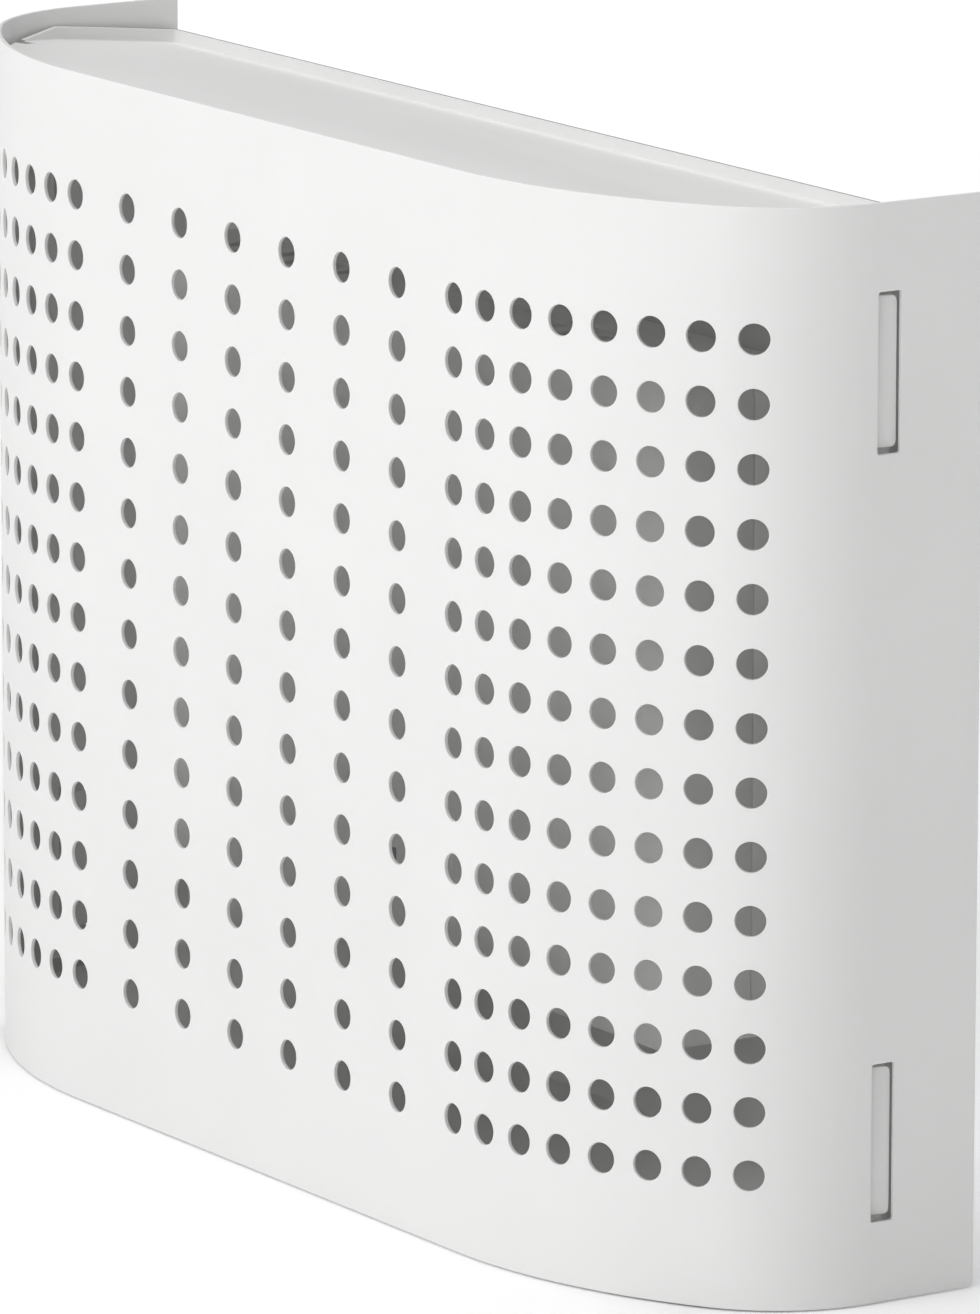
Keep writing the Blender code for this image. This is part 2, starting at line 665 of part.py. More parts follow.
def screws(prefix, places, head_depth, into, length, look):
    """Pan-head screws along Y; into is +1 where the point lies towards the wall."""
    head, shank, rise = 0.0022, SCREW_SHANK / 2, 0.0014
    profile = [(0.0, rise), (head * 0.7, rise), (head, rise * 0.4), (head, 0.0),
               (shank, 0.0), (shank, -length + shank), (0.0, -length)]
    for number, (x, z) in enumerate(places, 1):
        obj = turned(f"{prefix}_{number}", profile, look, at(x, head_depth, z), "Y")
        obj.rotation_euler.x = math.pi / 2 if into > 0 else -math.pi / 2


def standoffs(look):
    """Four threaded pillars that hold the module off the tray's back."""
    span = (MODULE_REAR + GAP, DEPTH - SHEET - GAP)
    for number, (x, z) in enumerate(STANDOFFS, 1):
        name = f"module_standoff_{number}"
        add_object(name, rods_mesh(name, [(x, z, 0.004, span)], 6), look)


def chip_stack(chip_look, pad_look, sink_look):
    """Processor, thermal pad and finned heat sink, one in front of the other."""
    half, pad_half = 0.0125, 0.011
    chip = (BOARD_FACE - 0.0024, BOARD_FACE - GAP)
    pad = (chip[0] - 0.0013, chip[0] - GAP)
    for name, reach, depth, look in (("processor", half, chip, chip_look),
                                     ("thermal_pad", pad_half, pad, pad_look)):
        z = around(CHIP_HEIGHT, 2 * reach)
        add_object(name, boxes_mesh(name, [box((-reach, reach), depth, z)]), look)
    heat_sink(sink_look, pad[0] - GAP)


def heat_sink(look, face):
    """An extruded comb: a base with upright fins, seen along Z."""
    fins, width, fin, base, tall, length = 9, 0.060, 0.0014, 0.003, 0.0115, 0.050
    pitch = (width - fin) / (fins - 1)
    comb = [(-width / 2, base), (-width / 2, 0.0), (width / 2, 0.0), (width / 2, base)]
    for k in reversed(range(fins)):
        left = -width / 2 + pitch * k
        tooth = [(left + fin, base), (left + fin, tall), (left, tall), (left, base)]
        comb += tooth[1:3] if k in (0, fins - 1) else tooth
        if k == fins - 1:
            comb[3:4] = []
            comb.append(tooth[3])
    mesh = mesh_of_curve(outline_curve("heat_sink", [comb], length / 2), "heat_sink")
    mesh.transform(Matrix.Diagonal((1.0, -1.0, -1.0, 1.0)))
    add_object("heat_sink", mesh, look, at(0.0, face, CHIP_HEIGHT))


def radio_shields(look):
    """Two drawn cans over the radios, open towards the board."""
    for number, x in enumerate((-RADIO_X, RADIO_X), 1):
        name = f"radio_shield_{number}"
        can = box(around(x, 0.040), (BOARD_FACE - 0.0045, BOARD_FACE - GAP),
                  around(RADIO_HEIGHT, 0.030))
        mesh = boxes_mesh(name, [can])
        bm = bmesh.new()
        bm.from_mesh(mesh)
        rim = max(bm.faces, key=lambda face: face.calc_center_median().y)
        bmesh.ops.delete(bm, geom=[rim], context="FACES_ONLY")
        bm.to_mesh(mesh)
        bm.free()
        solidify(add_object(name, mesh, look), 0.0004, -1.0)


def jack(name, x, width, ports, look):
    """A block of plug sockets that open downwards."""
    depth = (JACK_FRONT, BOARD_FACE - GAP)
    body = box(around(x, width), depth, (MODULE_BASE + GAP, JACK_TOP))
    block = add_object(name, boxes_mesh(name, [body]), look)
    first = x - LAN_PITCH * (ports - 1) / 2
    holes = []
    for k in range(ports):
        centre = first + LAN_PITCH * k
        deep = (MODULE_BASE - 0.002, MODULE_BASE + 0.013)
        holes.append(box(around(centre, 0.0119), (JACK_FRONT + 0.003, BOARD_FACE - 0.002), deep))
    boolean(block, add_object(f"{name}_holes", boxes_mesh(f"{name}_holes", holes)))
    notches = []
    for k in range(ports):
        centre = first + LAN_PITCH * k
        deep = (MODULE_BASE - 0.002, MODULE_BASE + 0.012)
        notches.append(box(around(centre, 0.006), (JACK_FRONT + 0.001, JACK_FRONT + 0.004), deep))
    boolean(block, add_object(f"{name}_latches", boxes_mesh(f"{name}_latches", notches)))


def power_jack(look):
    """The power inlet: a block with a round hole and its centre pin."""
    depth = (JACK_FRONT, BOARD_FACE - GAP)
    top = MODULE_BASE + 0.013
    middle = at(POWER_JACK_X, sum(depth) / 2, 0.0)
    body = box(around(POWER_JACK_X, POWER_JACK_WIDTH), depth, (MODULE_BASE + GAP, top))
    block = add_object("power_jack", boxes_mesh("power_jack", [body]), look)
    bore = upright_rod("power_jack_bore", middle, 0.0029, (MODULE_BASE - 0.002, top - 0.002))
    boolean(block, bore)
    pin = upright_rod("power_jack_pin", middle, 0.001, (MODULE_BASE + 0.001, top - 0.001))
    boolean(block, pin, "UNION")


def upright_rod(name, middle, radius, heights):
    bm = bmesh.new()
    place = Matrix.Translation((middle.x, middle.y, sum(heights) / 2))
    bmesh.ops.create_cone(bm, cap_ends=True, segments=ROUND_STEPS, radius1=radius, radius2=radius,
                          depth=heights[1] - heights[0], matrix=place)
    mesh = bpy.data.meshes.new(name)
    bm.to_mesh(mesh)
    bm.free()
    return add_object(name, mesh)


def buttons(look):
    """Three push buttons with retaining collars; each slides up when it is pressed."""
    collar = (0.0004 + CASE_WALL, 0.0019 + CASE_WALL)
    top = 0.009
    name = "power_button"
    body = [box((-0.004, 0.004), (DEPTH / 2 - 0.004, DEPTH / 2 + 0.004), (-0.003, top))]
    rim = [box((-0.0055, 0.0055), (DEPTH / 2 - 0.0055, DEPTH / 2 + 0.0041), collar)]
    place = at(POWER_BUTTON_X, BUTTON_DEPTH, MODULE_BASE)
    power = add_object(name, boxes_mesh(name, body), look, place)
    ring = add_object("power_button_collar", boxes_mesh("power_button_collar", rim), None, place)
    boolean(power, ring, "UNION")
    for name, x, radius, tip in (("wps_button", WPS_BUTTON_X, 0.003, -0.0022),
                                 ("reset_button", RESET_BUTTON_X, 0.0015, 0.0004)):
        wide = radius + 0.0011
        profile = [(0.0, top), (radius, top), (radius, collar[1]), (wide, collar[1]),
                   (wide, collar[0]), (radius, collar[0]), (radius, tip), (0.0, tip)]
        turned(name, profile, look, at(x, BUTTON_DEPTH, MODULE_BASE))


def switches(look):
    """The board switch above each button."""
    base = MODULE_BASE + 0.009 + POWER_TRAVEL + GAP
    for name, x in (("power_switch", POWER_BUTTON_X), ("wps_switch", WPS_BUTTON_X),
                    ("reset_switch", RESET_BUTTON_X)):
        body = box(around(x, 0.0062), (BUTTON_DEPTH - 0.0035, BOARD_FACE - GAP), (base, base + 0.006))
        add_object(name, boxes_mesh(name, [body]), look)


def antennas(strip_look, cable_look):
    """Printed antenna strips under the case's top, each with its feed cable from a radio."""
    level = MODULE_TOP - CASE_WALL - 0.0025
    depth = MODULE_FRONT + 0.009
    for number, place in enumerate(ANTENNA_PLACES, 1):
        x = place * MODULE_WIDTH
        name = f"antenna_{number}"
        strip = box(around(x, 0.034), around(depth, 0.009), (level, level + 0.0008))
        add_object(name, boxes_mesh(name, [strip]), strip_look)
        radio = math.copysign(RADIO_X, x) + (-0.008 if number % 2 else 0.008)
        start = at(radio, BOARD_FACE - 0.0018, RADIO_HEIGHT + 0.0182)
        end = at(x, depth, level - 0.0011)
        cable(f"antenna_cable_{number}", start, end, cable_look)


def cable(name, start, end, look):
    """A thin coaxial cable on one smooth S-shaped run."""
    radius, steps = 0.0006, 12
    bend = Vector((0.0, -0.004, 0.018))
    corners = (start, start + bend, end - Vector((0.0, 0.0, 0.022)), end)
    curve = bpy.data.curves.new(name, "CURVE")
    curve.dimensions = "3D"
    curve.bevel_depth = radius
    curve.bevel_resolution = 2
    curve.use_fill_caps = True
    spline = curve.splines.new("POLY")
    spline.points.add(steps)
    for k, point in enumerate(spline.points):
        t = k / steps
        weights = ((1 - t) ** 3, 3 * t * (1 - t) ** 2, 3 * t ** 2 * (1 - t), t ** 3)
        place = sum((c * w for c, w in zip(corners, weights)), Vector())
        point.co = (*place, 1.0)
    add_object(name, mesh_of_curve(curve, name), look, smooth=True)


def status_lights(led_look, pipe_look):
    """Four board lights, and the clear piece that carries their light to the case's front."""
    for number, x in enumerate(LIGHT_XS, 1):
        name = f"status_light_{number}"
        body = box(around(x, 0.003), (BOARD_FACE - 0.0012, BOARD_FACE - GAP),
                   around(LIGHT_HEIGHT, 0.0016))
        add_object(name, boxes_mesh(name, [body]), led_look)
    far, near, leg = BOARD_FACE - 0.0016, MODULE_FRONT + 0.0003, 0.0013
    comb = []
    bar = (MODULE_FRONT + 0.011, MODULE_FRONT + 0.014)
    for x in LIGHT_XS:
        comb += [(x - leg, bar[0]), (x - leg, near), (x + leg, near), (x + leg, bar[0])]
    for x in reversed(LIGHT_XS):
        comb += [(x + leg, bar[1]), (x + leg, far), (x - leg, far), (x - leg, bar[1])]
    loop = [(x, depth - DEPTH / 2) for x, depth in comb]
    mesh = mesh_of_curve(outline_curve("light_pipe", [loop], leg), "light_pipe")
    add_object("light_pipe", mesh, pipe_look, (0.0, 0.0, LIGHT_HEIGHT))


def main():
    white = material("white_powder_coat", (0.80, 0.80, 0.79), 0.55)
    tray_white = material("tray_powder_coat", (0.78, 0.78, 0.77), 0.55)
    case_white = material("white_plastic", (0.78, 0.78, 0.77), 0.5)
    dark = material("black_plastic", (0.03, 0.03, 0.03), 0.45)
    steel = material("zinc_plated_steel", (0.66, 0.66, 0.64), 0.3, 1.0)
    green = material("circuit_board", (0.02, 0.17, 0.07), 0.4)
    aluminium = material("aluminium", (0.75, 0.76, 0.77), 0.35, 1.0)
    pad = material("thermal_pad", (0.35, 0.45, 0.62), 0.8)
    clear = material("clear_plastic", (0.9, 0.93, 0.93), 0.15)
    led = material("light_body", (0.85, 0.85, 0.7), 0.3)
    front_cover(white)
    back_panel(tray_white)
    exit_depth = CABLE_EXIT_DEPTH - DEPTH / 2
    pan("top_plate", tray_white, False, [])
    pan("bottom_plate", tray_white, True, [rectangle(CABLE_EXIT_X, exit_depth, *CABLE_EXIT)])
    tongues(tray_white)
    module_case(case_white)
    main_board(green)
    screws("case_screw", CASE_SCREWS, MODULE_REAR + GAP, -1, 0.014, steel)
    screws("board_screw", BOARD_SCREWS, BOARD_FACE - GAP, 1, 0.0050, steel)
    standoffs(steel)
    chip_stack(dark, pad, aluminium)
    radio_shields(steel)
    jack("lan_jack_block", LAN_X, LAN_WIDTH, LAN_PORTS, steel)
    jack("wan_jack", WAN_X, WAN_WIDTH, 1, steel)
    power_jack(dark)
    buttons(dark)
    switches(dark)
    antennas(green, dark)
    status_lights(led, clear)


main()
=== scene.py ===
"""Looks of a wireless router in a perforated sheet-steel wall housing, built round its CAD frame.

Z is up, the wall is on the +Y side and the cover faces -Y. All lengths are in metres. The cover is
a new surface. The tray's plates and tongues and the module's case, sockets and buttons are their
CAD solids with rounded edges and bends. The other small parts keep their CAD shape. Every piece
has a procedural finish.
"""

import math

import bmesh
import bpy
import numpy as np
from bpy.props import FloatProperty, FloatVectorProperty, PointerProperty
from mathutils import Matrix, Vector


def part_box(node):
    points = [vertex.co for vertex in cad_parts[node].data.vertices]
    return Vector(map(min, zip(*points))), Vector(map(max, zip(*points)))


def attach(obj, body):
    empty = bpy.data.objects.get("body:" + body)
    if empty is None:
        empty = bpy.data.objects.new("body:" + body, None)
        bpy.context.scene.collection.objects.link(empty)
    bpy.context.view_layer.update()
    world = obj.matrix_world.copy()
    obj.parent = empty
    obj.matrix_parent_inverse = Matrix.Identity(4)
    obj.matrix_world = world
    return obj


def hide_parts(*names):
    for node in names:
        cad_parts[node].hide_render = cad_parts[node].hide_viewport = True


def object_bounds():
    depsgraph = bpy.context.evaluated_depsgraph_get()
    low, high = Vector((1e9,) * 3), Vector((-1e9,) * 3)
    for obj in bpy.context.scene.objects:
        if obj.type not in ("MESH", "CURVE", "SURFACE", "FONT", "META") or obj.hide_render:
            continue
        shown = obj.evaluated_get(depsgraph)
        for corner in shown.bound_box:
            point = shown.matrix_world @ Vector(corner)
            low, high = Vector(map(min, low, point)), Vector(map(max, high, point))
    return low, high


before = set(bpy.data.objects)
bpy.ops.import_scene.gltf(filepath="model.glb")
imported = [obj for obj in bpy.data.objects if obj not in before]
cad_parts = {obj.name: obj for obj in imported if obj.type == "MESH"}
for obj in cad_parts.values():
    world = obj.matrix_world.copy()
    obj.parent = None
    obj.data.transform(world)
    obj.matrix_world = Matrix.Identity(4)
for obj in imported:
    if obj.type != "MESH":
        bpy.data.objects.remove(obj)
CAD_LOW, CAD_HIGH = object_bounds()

bl_info = {
    "name": "Wireless router in a wall housing",
    "version": (1, 0, 0),
    "blender": (4, 5, 0),
    "location": "View3D > Sidebar > Router",
    "description": "Builds the housing, the router module and the studio, each from its own sizes",
    "category": "Object",
}

COVER_LOW, COVER_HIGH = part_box("front_cover")
WIDTH = COVER_HIGH.x - COVER_LOW.x
DEPTH = COVER_HIGH.y - COVER_LOW.y
HEIGHT = COVER_HIGH.z - COVER_LOW.z
SHEET = 0.001
ARC_RADIUS = 0.1194
ARC_ANGLE = math.radians(34.2)
CORNER_RADIUS = 0.0369
REAR_CORNER = 0.001
ROWS = 14
ROW_PITCH = 0.014
PATTERN_MIDDLE = HEIGHT / 2 + 0.0008
NARROW_COLUMNS = 8
NARROW_PITCH = 0.0117
WIDE_COLUMNS = 6
FLAT_MARGIN = 0.0018
SLOT = (0.0058, 0.035)
SLOT_SPACING = 0.168
SLOT_MIDDLE = HEIGHT / 2 - 0.0006
SLOT_FROM_CORNER = 0.0002
SLOT_CORNER = 0.0005
SLOT_CLEAR = (0.003, 0.002)
CELL_STEPS = 6
MARGIN_STEPS = 7
BEND_LINES = 8
SLOT_LINES = 5
PLAIN_LINES = 4
CORNER_TURNS = np.radians(np.arange(15.0, 91.0, 15.0))

WELD_DISTANCE = 2e-6
FLAT_WITHIN = math.radians(0.4)
SHARP = math.radians(35.0)
CUT_FACE_LIMIT = 1.4 * SHEET
EDGE_STEPS = 2
FOLD_STEPS = 4
SOCKET_EDGE = 0.00015
BUTTON_EDGE = 0.0003

CLOUD = 0.045
SPECK = 0.0009
# Colour of the painted light that the tray and case paints give off
PAINTED_LIGHT_WHITE = (1.0, 1.0, 0.98, 1.0)
TRACK_PITCH = 0.0012
PATTERN_START = 0.2
MOULD_MARK_INSET = 0.003
MOULD_MARK_RADIUS = 0.0009
LIGHT_PITCH = 0.010
LIGHT_START = 0.1
GEL_WINDOW = (0.0009, 0.0005)

MIDDLE = Vector((0.0, 0.0, (COVER_LOW.z + COVER_HIGH.z) / 2))
LIGHT_SIZE = 1.4
LIGHT_DISTANCE = 2.6
GLOW_BESIDE = 0.25
GLOW_NEAR = (-0.02, 0.0)
GLOW_FAR = (0.15, 1.2)
FLOOR_RADII = np.geomspace(0.05, 30.0, 24)
FLOOR_TURNS = 96
FLOOR_GAP = 0.0004
SENSOR = 36.0

HALF_FLAT = (WIDTH - SHEET) / 2 - ARC_RADIUS * math.sin(ARC_ANGLE) \
    - CORNER_RADIUS * (1 - math.sin(ARC_ANGLE))
WIDE_PITCH = (HALF_FLAT - FLAT_MARGIN) / (WIDE_COLUMNS / 2 + 0.5)
CORNER_DEPTH = SHEET / 2 + ARC_RADIUS * (1 - math.cos(ARC_ANGLE)) \
    + CORNER_RADIUS * math.cos(ARC_ANGLE)
S_CORNER = HALF_FLAT + ARC_RADIUS * ARC_ANGLE
S_SIDE = S_CORNER + CORNER_RADIUS * (math.pi / 2 - ARC_ANGLE)
S_END = S_SIDE + DEPTH - CORNER_DEPTH


# Settings that a user would change

def length(name, description, default):
    return FloatProperty(name=name, description=description, default=default, min=0.0,
                         subtype="DISTANCE", unit="LENGTH", precision=5)


def share(name, description, default):
    return FloatProperty(name=name, description=description, default=default, min=0.0, max=1.0,
                         subtype="FACTOR")


def colour(name, description, default):
    return FloatVectorProperty(name=name, description=description, default=default, size=3,
                               min=0.0, max=1.0, subtype="COLOR")


def angle(name, description, degrees):
    return FloatProperty(name=name, description=description, default=math.radians(degrees),
                         subtype="ANGLE", unit="ROTATION")


def level(name, description, default):
    return FloatProperty(name=name, description=description, default=default, min=0.0)


class CoverSettings(bpy.types.PropertyGroup):
    hole: length("Hole diameter", "Width of each round hole", 0.0068)
    edge: length("Edge round", "Radius of the paint over every cut edge", 0.00022)
    colour: colour("Paint", "Colour of the cover's powder coat", (0.80, 0.80, 0.795))
    roughness: share("Roughness", "How matt the powder coat is", 0.52)
    peel: length("Orange peel", "Width of one wave in the powder coat", 0.0011)


class TraySettings(bpy.types.PropertyGroup):
    edge: length("Edge round", "Radius of the paint over every cut edge", 0.00022)
    bend: length("Bend radius", "Inner radius of the sheet's folds", 0.0014)
    colour: colour("Paint", "Colour of the tray's powder coat", (0.78, 0.78, 0.775))
    roughness: share("Roughness", "How matt the powder coat is", 0.55)
    # Painted light: this glow on the tray and case paints stands in for the light bounced round
    # inside the housing
    glow: level("Stray light", "Faint light of the inner surfaces, for the bright inside", 0.022)


class ModuleSettings(bpy.types.PropertyGroup):
    edge: length("Edge round", "Radius of the case's moulded edges", 0.0006)
    case: colour("Case", "Colour of the case plastic", (0.80, 0.80, 0.79))
    dark: colour("Dark plastic", "Colour of buttons, switches and the power inlet",
                 (0.022, 0.022, 0.024))
    mask: colour("Solder mask", "Colour of the circuit board", (0.012, 0.10, 0.04))


class StudioSettings(bpy.types.PropertyGroup):
    floor: colour("Floor", "Colour of the plain floor", (0.93, 0.93, 0.93))
    surround: level("Surround", "Strength of the even white surround", 0.36)
    key: level("Key light", "Power of the large light in front", 22.0)
    fill: level("Fill light", "Power of the light at the front right", 6.0)
    top: level("Top light", "Power of the overhead light", 28.0)
    glow: level("Floor glow", "Light that the far floor gives off, which keeps it plain", 0.55)
    azimuth: angle("Azimuth", "Camera's turn to the right of straight ahead", 57.501)
    elevation: angle("Elevation", "Camera's height above the horizon", 11.835)
    turn: angle("Turn right", "Camera's own turn away from the aim point", 0.4193)
    dip: angle("Tilt down", "Camera's own tilt below the aim point", 0.1320)
    distance: length("Distance", "From the camera to the aim point", 2.4659)
    lens: level("Lens", "Focal length in millimetres, for 36 mm on the taller side", 300.71)


# Shader nodes

class Value:
    """A number that varies over a surface. Arithmetic on it adds Math nodes."""

    def __init__(self, finish, socket):
        self.finish = finish
        self.socket = socket

    def math(self, operation, first, second=0.0):
        return self.finish.node("ShaderNodeMath", {"operation": operation},
                                {0: first, 1: second})

    def __add__(self, other):
        return self.math("ADD", self, other)

    __radd__ = __add__

    def __sub__(self, other):
        return self.math("SUBTRACT", self, other)

    def __rsub__(self, other):
        return self.math("SUBTRACT", other, self)

    def __mul__(self, other):
        return self.math("MULTIPLY", self, other)

    __rmul__ = __mul__

    def __pow__(self, other):
        return self.math("POWER", self, other)

    def __gt__(self, other):
        return self.math("GREATER_THAN", self, other)

    def __lt__(self, other):
        return self.math("LESS_THAN", self, other)

    def repeat(self, pitch):
        """The remainder after whole pitches, from 0 up to pitch."""
        return self.math("FLOORED_MODULO", self, pitch)

    def size(self):
        return self.math("ABSOLUTE", self)

    def over(self, other):
        """The larger of two values."""
        return self.math("MAXIMUM", self, other)


class Finish:
    """One material and the nodes that make it."""

    def __init__(self, name):
        self.material = bpy.data.materials.new(name)
        self.material.use_nodes = True
        self.tree = self.material.node_tree
        self.shader = self.tree.nodes["Principled BSDF"]
        self.where = self.node("ShaderNodeTexCoord", output="Object")

    def node(self, kind, settings=None, inputs=None, output=0):
        """A node of any kind: its settings first, then each socket's value or link."""
        made = self.tree.nodes.new(kind)
        for name, value in (settings or {}).items():
            setattr(made, name, value)
        for key, value in (inputs or {}).items():
            self.plug(made.inputs[key], value)
        return Value(self, made.outputs[output])

    def plug(self, socket, value):
        if isinstance(value, Value):
            self.tree.links.new(value.socket, socket)
        else:
            socket.default_value = value

    def set(self, **inputs):
        """Sets or links the shader's own sockets, spaces written as underscores."""
        for key, value in inputs.items():
            self.plug(self.shader.inputs[key.replace("_", " ")], value)
        return self

    def noise(self, width, detail=2.0, roughness=0.5, stretch=None):
        """Even noise from 0 to 1 whose blots are about one width across."""
        where = self.where
        if stretch:
            where = self.node("ShaderNodeMapping", {}, {"Vector": where, "Scale": stretch})
        return self.node("ShaderNodeTexNoise", {}, {
            "Vector": where, "Scale": 1.0 / width, "Detail": detail, "Roughness": roughness})

    def cells(self, width):
        """Distance from the nearest of many scattered points."""
        return self.node("ShaderNodeTexVoronoi", {"feature": "F1"}, {
            "Vector": self.where, "Scale": 1.0 / width})

    def axes(self):
        """The three object coordinates as values, in metres."""
        split = self.tree.nodes.new("ShaderNodeSeparateXYZ")
        self.tree.links.new(self.where.socket, split.inputs[0])
        return [Value(self, socket) for socket in split.outputs]

    def mix(self, factor, first, second):
        """From the first colour to the second as the factor goes from 0 to 1."""
        return self.node("ShaderNodeMix", {"data_type": "RGBA", "clamp_factor": True},
                         {0: factor, 6: opaque(first), 7: opaque(second)}, output=2)

    def steps(self, value, low, high, to_low=0.0, to_high=1.0):
        """The value carried from one range to another, held at its ends."""
        return self.node("ShaderNodeMapRange", {"clamp": True}, {
            "Value": value, "From Min": low, "From Max": high, "To Min": to_low,
            "To Max": to_high})

    def bump(self, height, depth, strength=1.0, under=None):
        inputs = {"Height": height, "Distance": depth, "Strength": strength}
        if under:
            inputs["Normal"] = under
        return self.node("ShaderNodeBump", {}, inputs)


def opaque(shade):
    """A colour with its alpha, or a value as it is."""
    return shade if isinstance(shade, Value) else (*shade, 1.0)


def tone(shade, amount):
    """A colour made lighter or darker by multiplying it."""
    return tuple(min(part * amount, 1.0) for part in shade)


def powder_coat(name, shade, roughness, peel, glow=0.0):
    """Baked powder paint: low orange-peel waves, a finer grain on them and the faintest cloud, with
    any glow as painted light.
    """
    made = Finish(name)
    cloud = made.noise(CLOUD, 3.0)
    speck = made.noise(SPECK, 1.0)
    base = made.mix(made.steps(cloud, 0.3, 0.7), tone(shade, 0.985), tone(shade, 1.01))
    base = made.mix(made.steps(speck, 0.66, 0.8) * 0.25, base, tone(shade, 0.93))
    waves = made.noise(peel, 2.0, 0.45)
    grain = made.noise(peel * 0.28, 1.0)
    normal = made.bump(waves, peel * 0.030, 0.8)
    normal = made.bump(grain, peel * 0.007, 0.7, normal)
    rough = made.steps(waves, 0.3, 0.7, roughness - 0.04, roughness + 0.05)
    return made.set(Base_Color=base, Roughness=rough, Normal=normal, IOR=1.48,
                    Emission_Color=PAINTED_LIGHT_WHITE, Emission_Strength=glow).material


def moulded_plastic(name, shade, roughness, texture=0.0006, glow=0.0):
    """Spark-textured moulded plastic: fine close pits over a slow change of tone, with any glow as
    painted light.
    """
    made = Finish(name)
    pits = made.cells(texture)
    slow = made.noise(0.03, 2.0)
    base = made.mix(made.steps(slow, 0.3, 0.7), tone(shade, 0.95), tone(shade, 1.03))
    rough = made.steps(pits, 0.0, 0.8, roughness + 0.08, roughness - 0.05)
    normal = made.bump(pits, texture * 0.08, 0.7)
    return made.set(Base_Color=base, Roughness=rough, Normal=normal, IOR=1.46,
                    Emission_Color=PAINTED_LIGHT_WHITE, Emission_Strength=glow).material


def plated_steel(name, shade=(0.62, 0.61, 0.58), roughness=0.32, stretch=(1.0, 1.0, 1.0)):
    """Zinc-plated or tinned steel: faint spangle, rolling lines and small tarnish."""
    made = Finish(name)
    spangle = made.cells(0.0022)
    lines = made.noise(0.0004, 2.0, 0.6, stretch=stretch)
    tarnish = made.noise(0.006, 4.0, 0.6)
    base = made.mix(made.steps(tarnish, 0.45, 0.75), shade, tone(shade, 0.80))
    rough = made.steps(lines, 0.3, 0.7, roughness - 0.07, roughness + 0.09) \
        + made.steps(spangle, 0.0, 0.8, 0.0, 0.06)
    normal = made.bump(lines, 0.000012, 0.8)
    return made.set(Base_Color=base, Metallic=1.0, Roughness=rough, Normal=normal).material


def brushed_aluminium(name):
    """Extruded aluminium: die lines that run with the fins, and a dull oxide bloom."""
    made = Finish(name)
    lines = made.noise(0.00035, 3.0, 0.65, stretch=(1.0, 1.0, 0.02))
    bloom = made.noise(0.008, 3.0)
    base = made.mix(made.steps(bloom, 0.35, 0.75), (0.72, 0.73, 0.74), (0.60, 0.61, 0.62))
    rough = made.steps(lines, 0.3, 0.7, 0.28, 0.46)
    normal = made.bump(lines, 0.00002, 0.8)
    return made.set(Base_Color=base, Metallic=1.0, Roughness=rough, Normal=normal).material


def circuit_board(name, mask):
    """Green solder mask over copper: runs of tracks, vias and tinned pads on a fine grid."""
    made = Finish(name)
    x, _, z = made.axes()
    pitch = TRACK_PITCH
    column = (x + PATTERN_START).repeat(pitch) - pitch / 2
    row = z.repeat(pitch) - pitch / 2
    upright = made.noise(0.009, 1.0, stretch=(1.0, 1.0, 0.35)) > 0.5
    across = upright * row.size() + (1 - upright) * column.size()
    routed = made.noise(0.016, 2.0) > 0.46
    track = (across < pitch * 0.17) * routed
    via = ((column * column + row * row) ** 0.5 < pitch * 0.24) \
        * (made.noise(0.004, 0.0) > 0.60)
    weave = made.noise(0.0003, 1.0)
    base = made.mix(track, mask, tone(mask, 1.9))
    base = made.mix(via, base, (0.55, 0.50, 0.36))
    rough = made.steps(weave, 0.3, 0.7, 0.28, 0.38)
    normal = made.bump(track.over(via), 0.00003, 0.9)
    return made.set(Base_Color=base, Metallic=via * 0.9, Roughness=rough, Normal=normal,
                    Coat_Weight=0.3, Coat_Roughness=0.2).material


def chip_resin(name):
    """Moulded black resin with a fine grain and a round mould mark at one corner."""
    made = Finish(name)
    x, _, z = made.axes()
    low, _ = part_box("processor")
    beside, above = x - low.x - MOULD_MARK_INSET, z - low.z - MOULD_MARK_INSET
    mark = ((beside ** 2 + above ** 2) ** 0.5) < MOULD_MARK_RADIUS
    grain = made.noise(0.00018, 2.0)
    base = made.mix(made.steps(grain, 0.35, 0.7), (0.016, 0.016, 0.017), (0.028, 0.028, 0.03))
    base = made.mix(mark, base, (0.008, 0.008, 0.009))
    rough = made.steps(grain, 0.3, 0.7, 0.42, 0.6)
    normal = made.bump(grain, 0.000012, 0.8)
    return made.set(Base_Color=base, Roughness=rough, Normal=normal).material


def silicone_pad(name):
    """Soft filled silicone, matt and slightly pitted."""
    made = Finish(name)
    fill = made.noise(0.0005, 3.0)
    base = made.mix(made.steps(fill, 0.35, 0.7), (0.24, 0.33, 0.50), (0.33, 0.43, 0.60))
    normal = made.bump(fill, 0.00005, 0.9)
    return made.set(Base_Color=base, Roughness=0.85, Normal=normal,
                    Subsurface_Weight=0.05).material


def cable_jacket(name):
    """Thin extruded jacket, satin black with faint draw marks."""
    made = Finish(name)
    marks = made.noise(0.0005, 2.0)
    base = made.mix(made.steps(marks, 0.35, 0.7), (0.018, 0.018, 0.019), (0.034, 0.034, 0.036))
    return made.set(Base_Color=base, Roughness=made.steps(marks, 0.3, 0.7, 0.34, 0.46),
                    Normal=made.bump(marks, 0.00001, 0.8)).material


def clear_acrylic(name):
    """Clear moulded acrylic, a little milky, with faint flow lines."""
    made = Finish(name)
    flow = made.noise(0.002, 2.0)
    base = made.mix(made.steps(flow, 0.3, 0.7), (0.86, 0.90, 0.90), (0.93, 0.95, 0.95))
    return made.set(Base_Color=base, Roughness=made.steps(flow, 0.3, 0.7, 0.10, 0.18),
                    Normal=made.bump(flow, 0.00001, 0.6), IOR=1.49,
                    Transmission_Weight=0.65).material


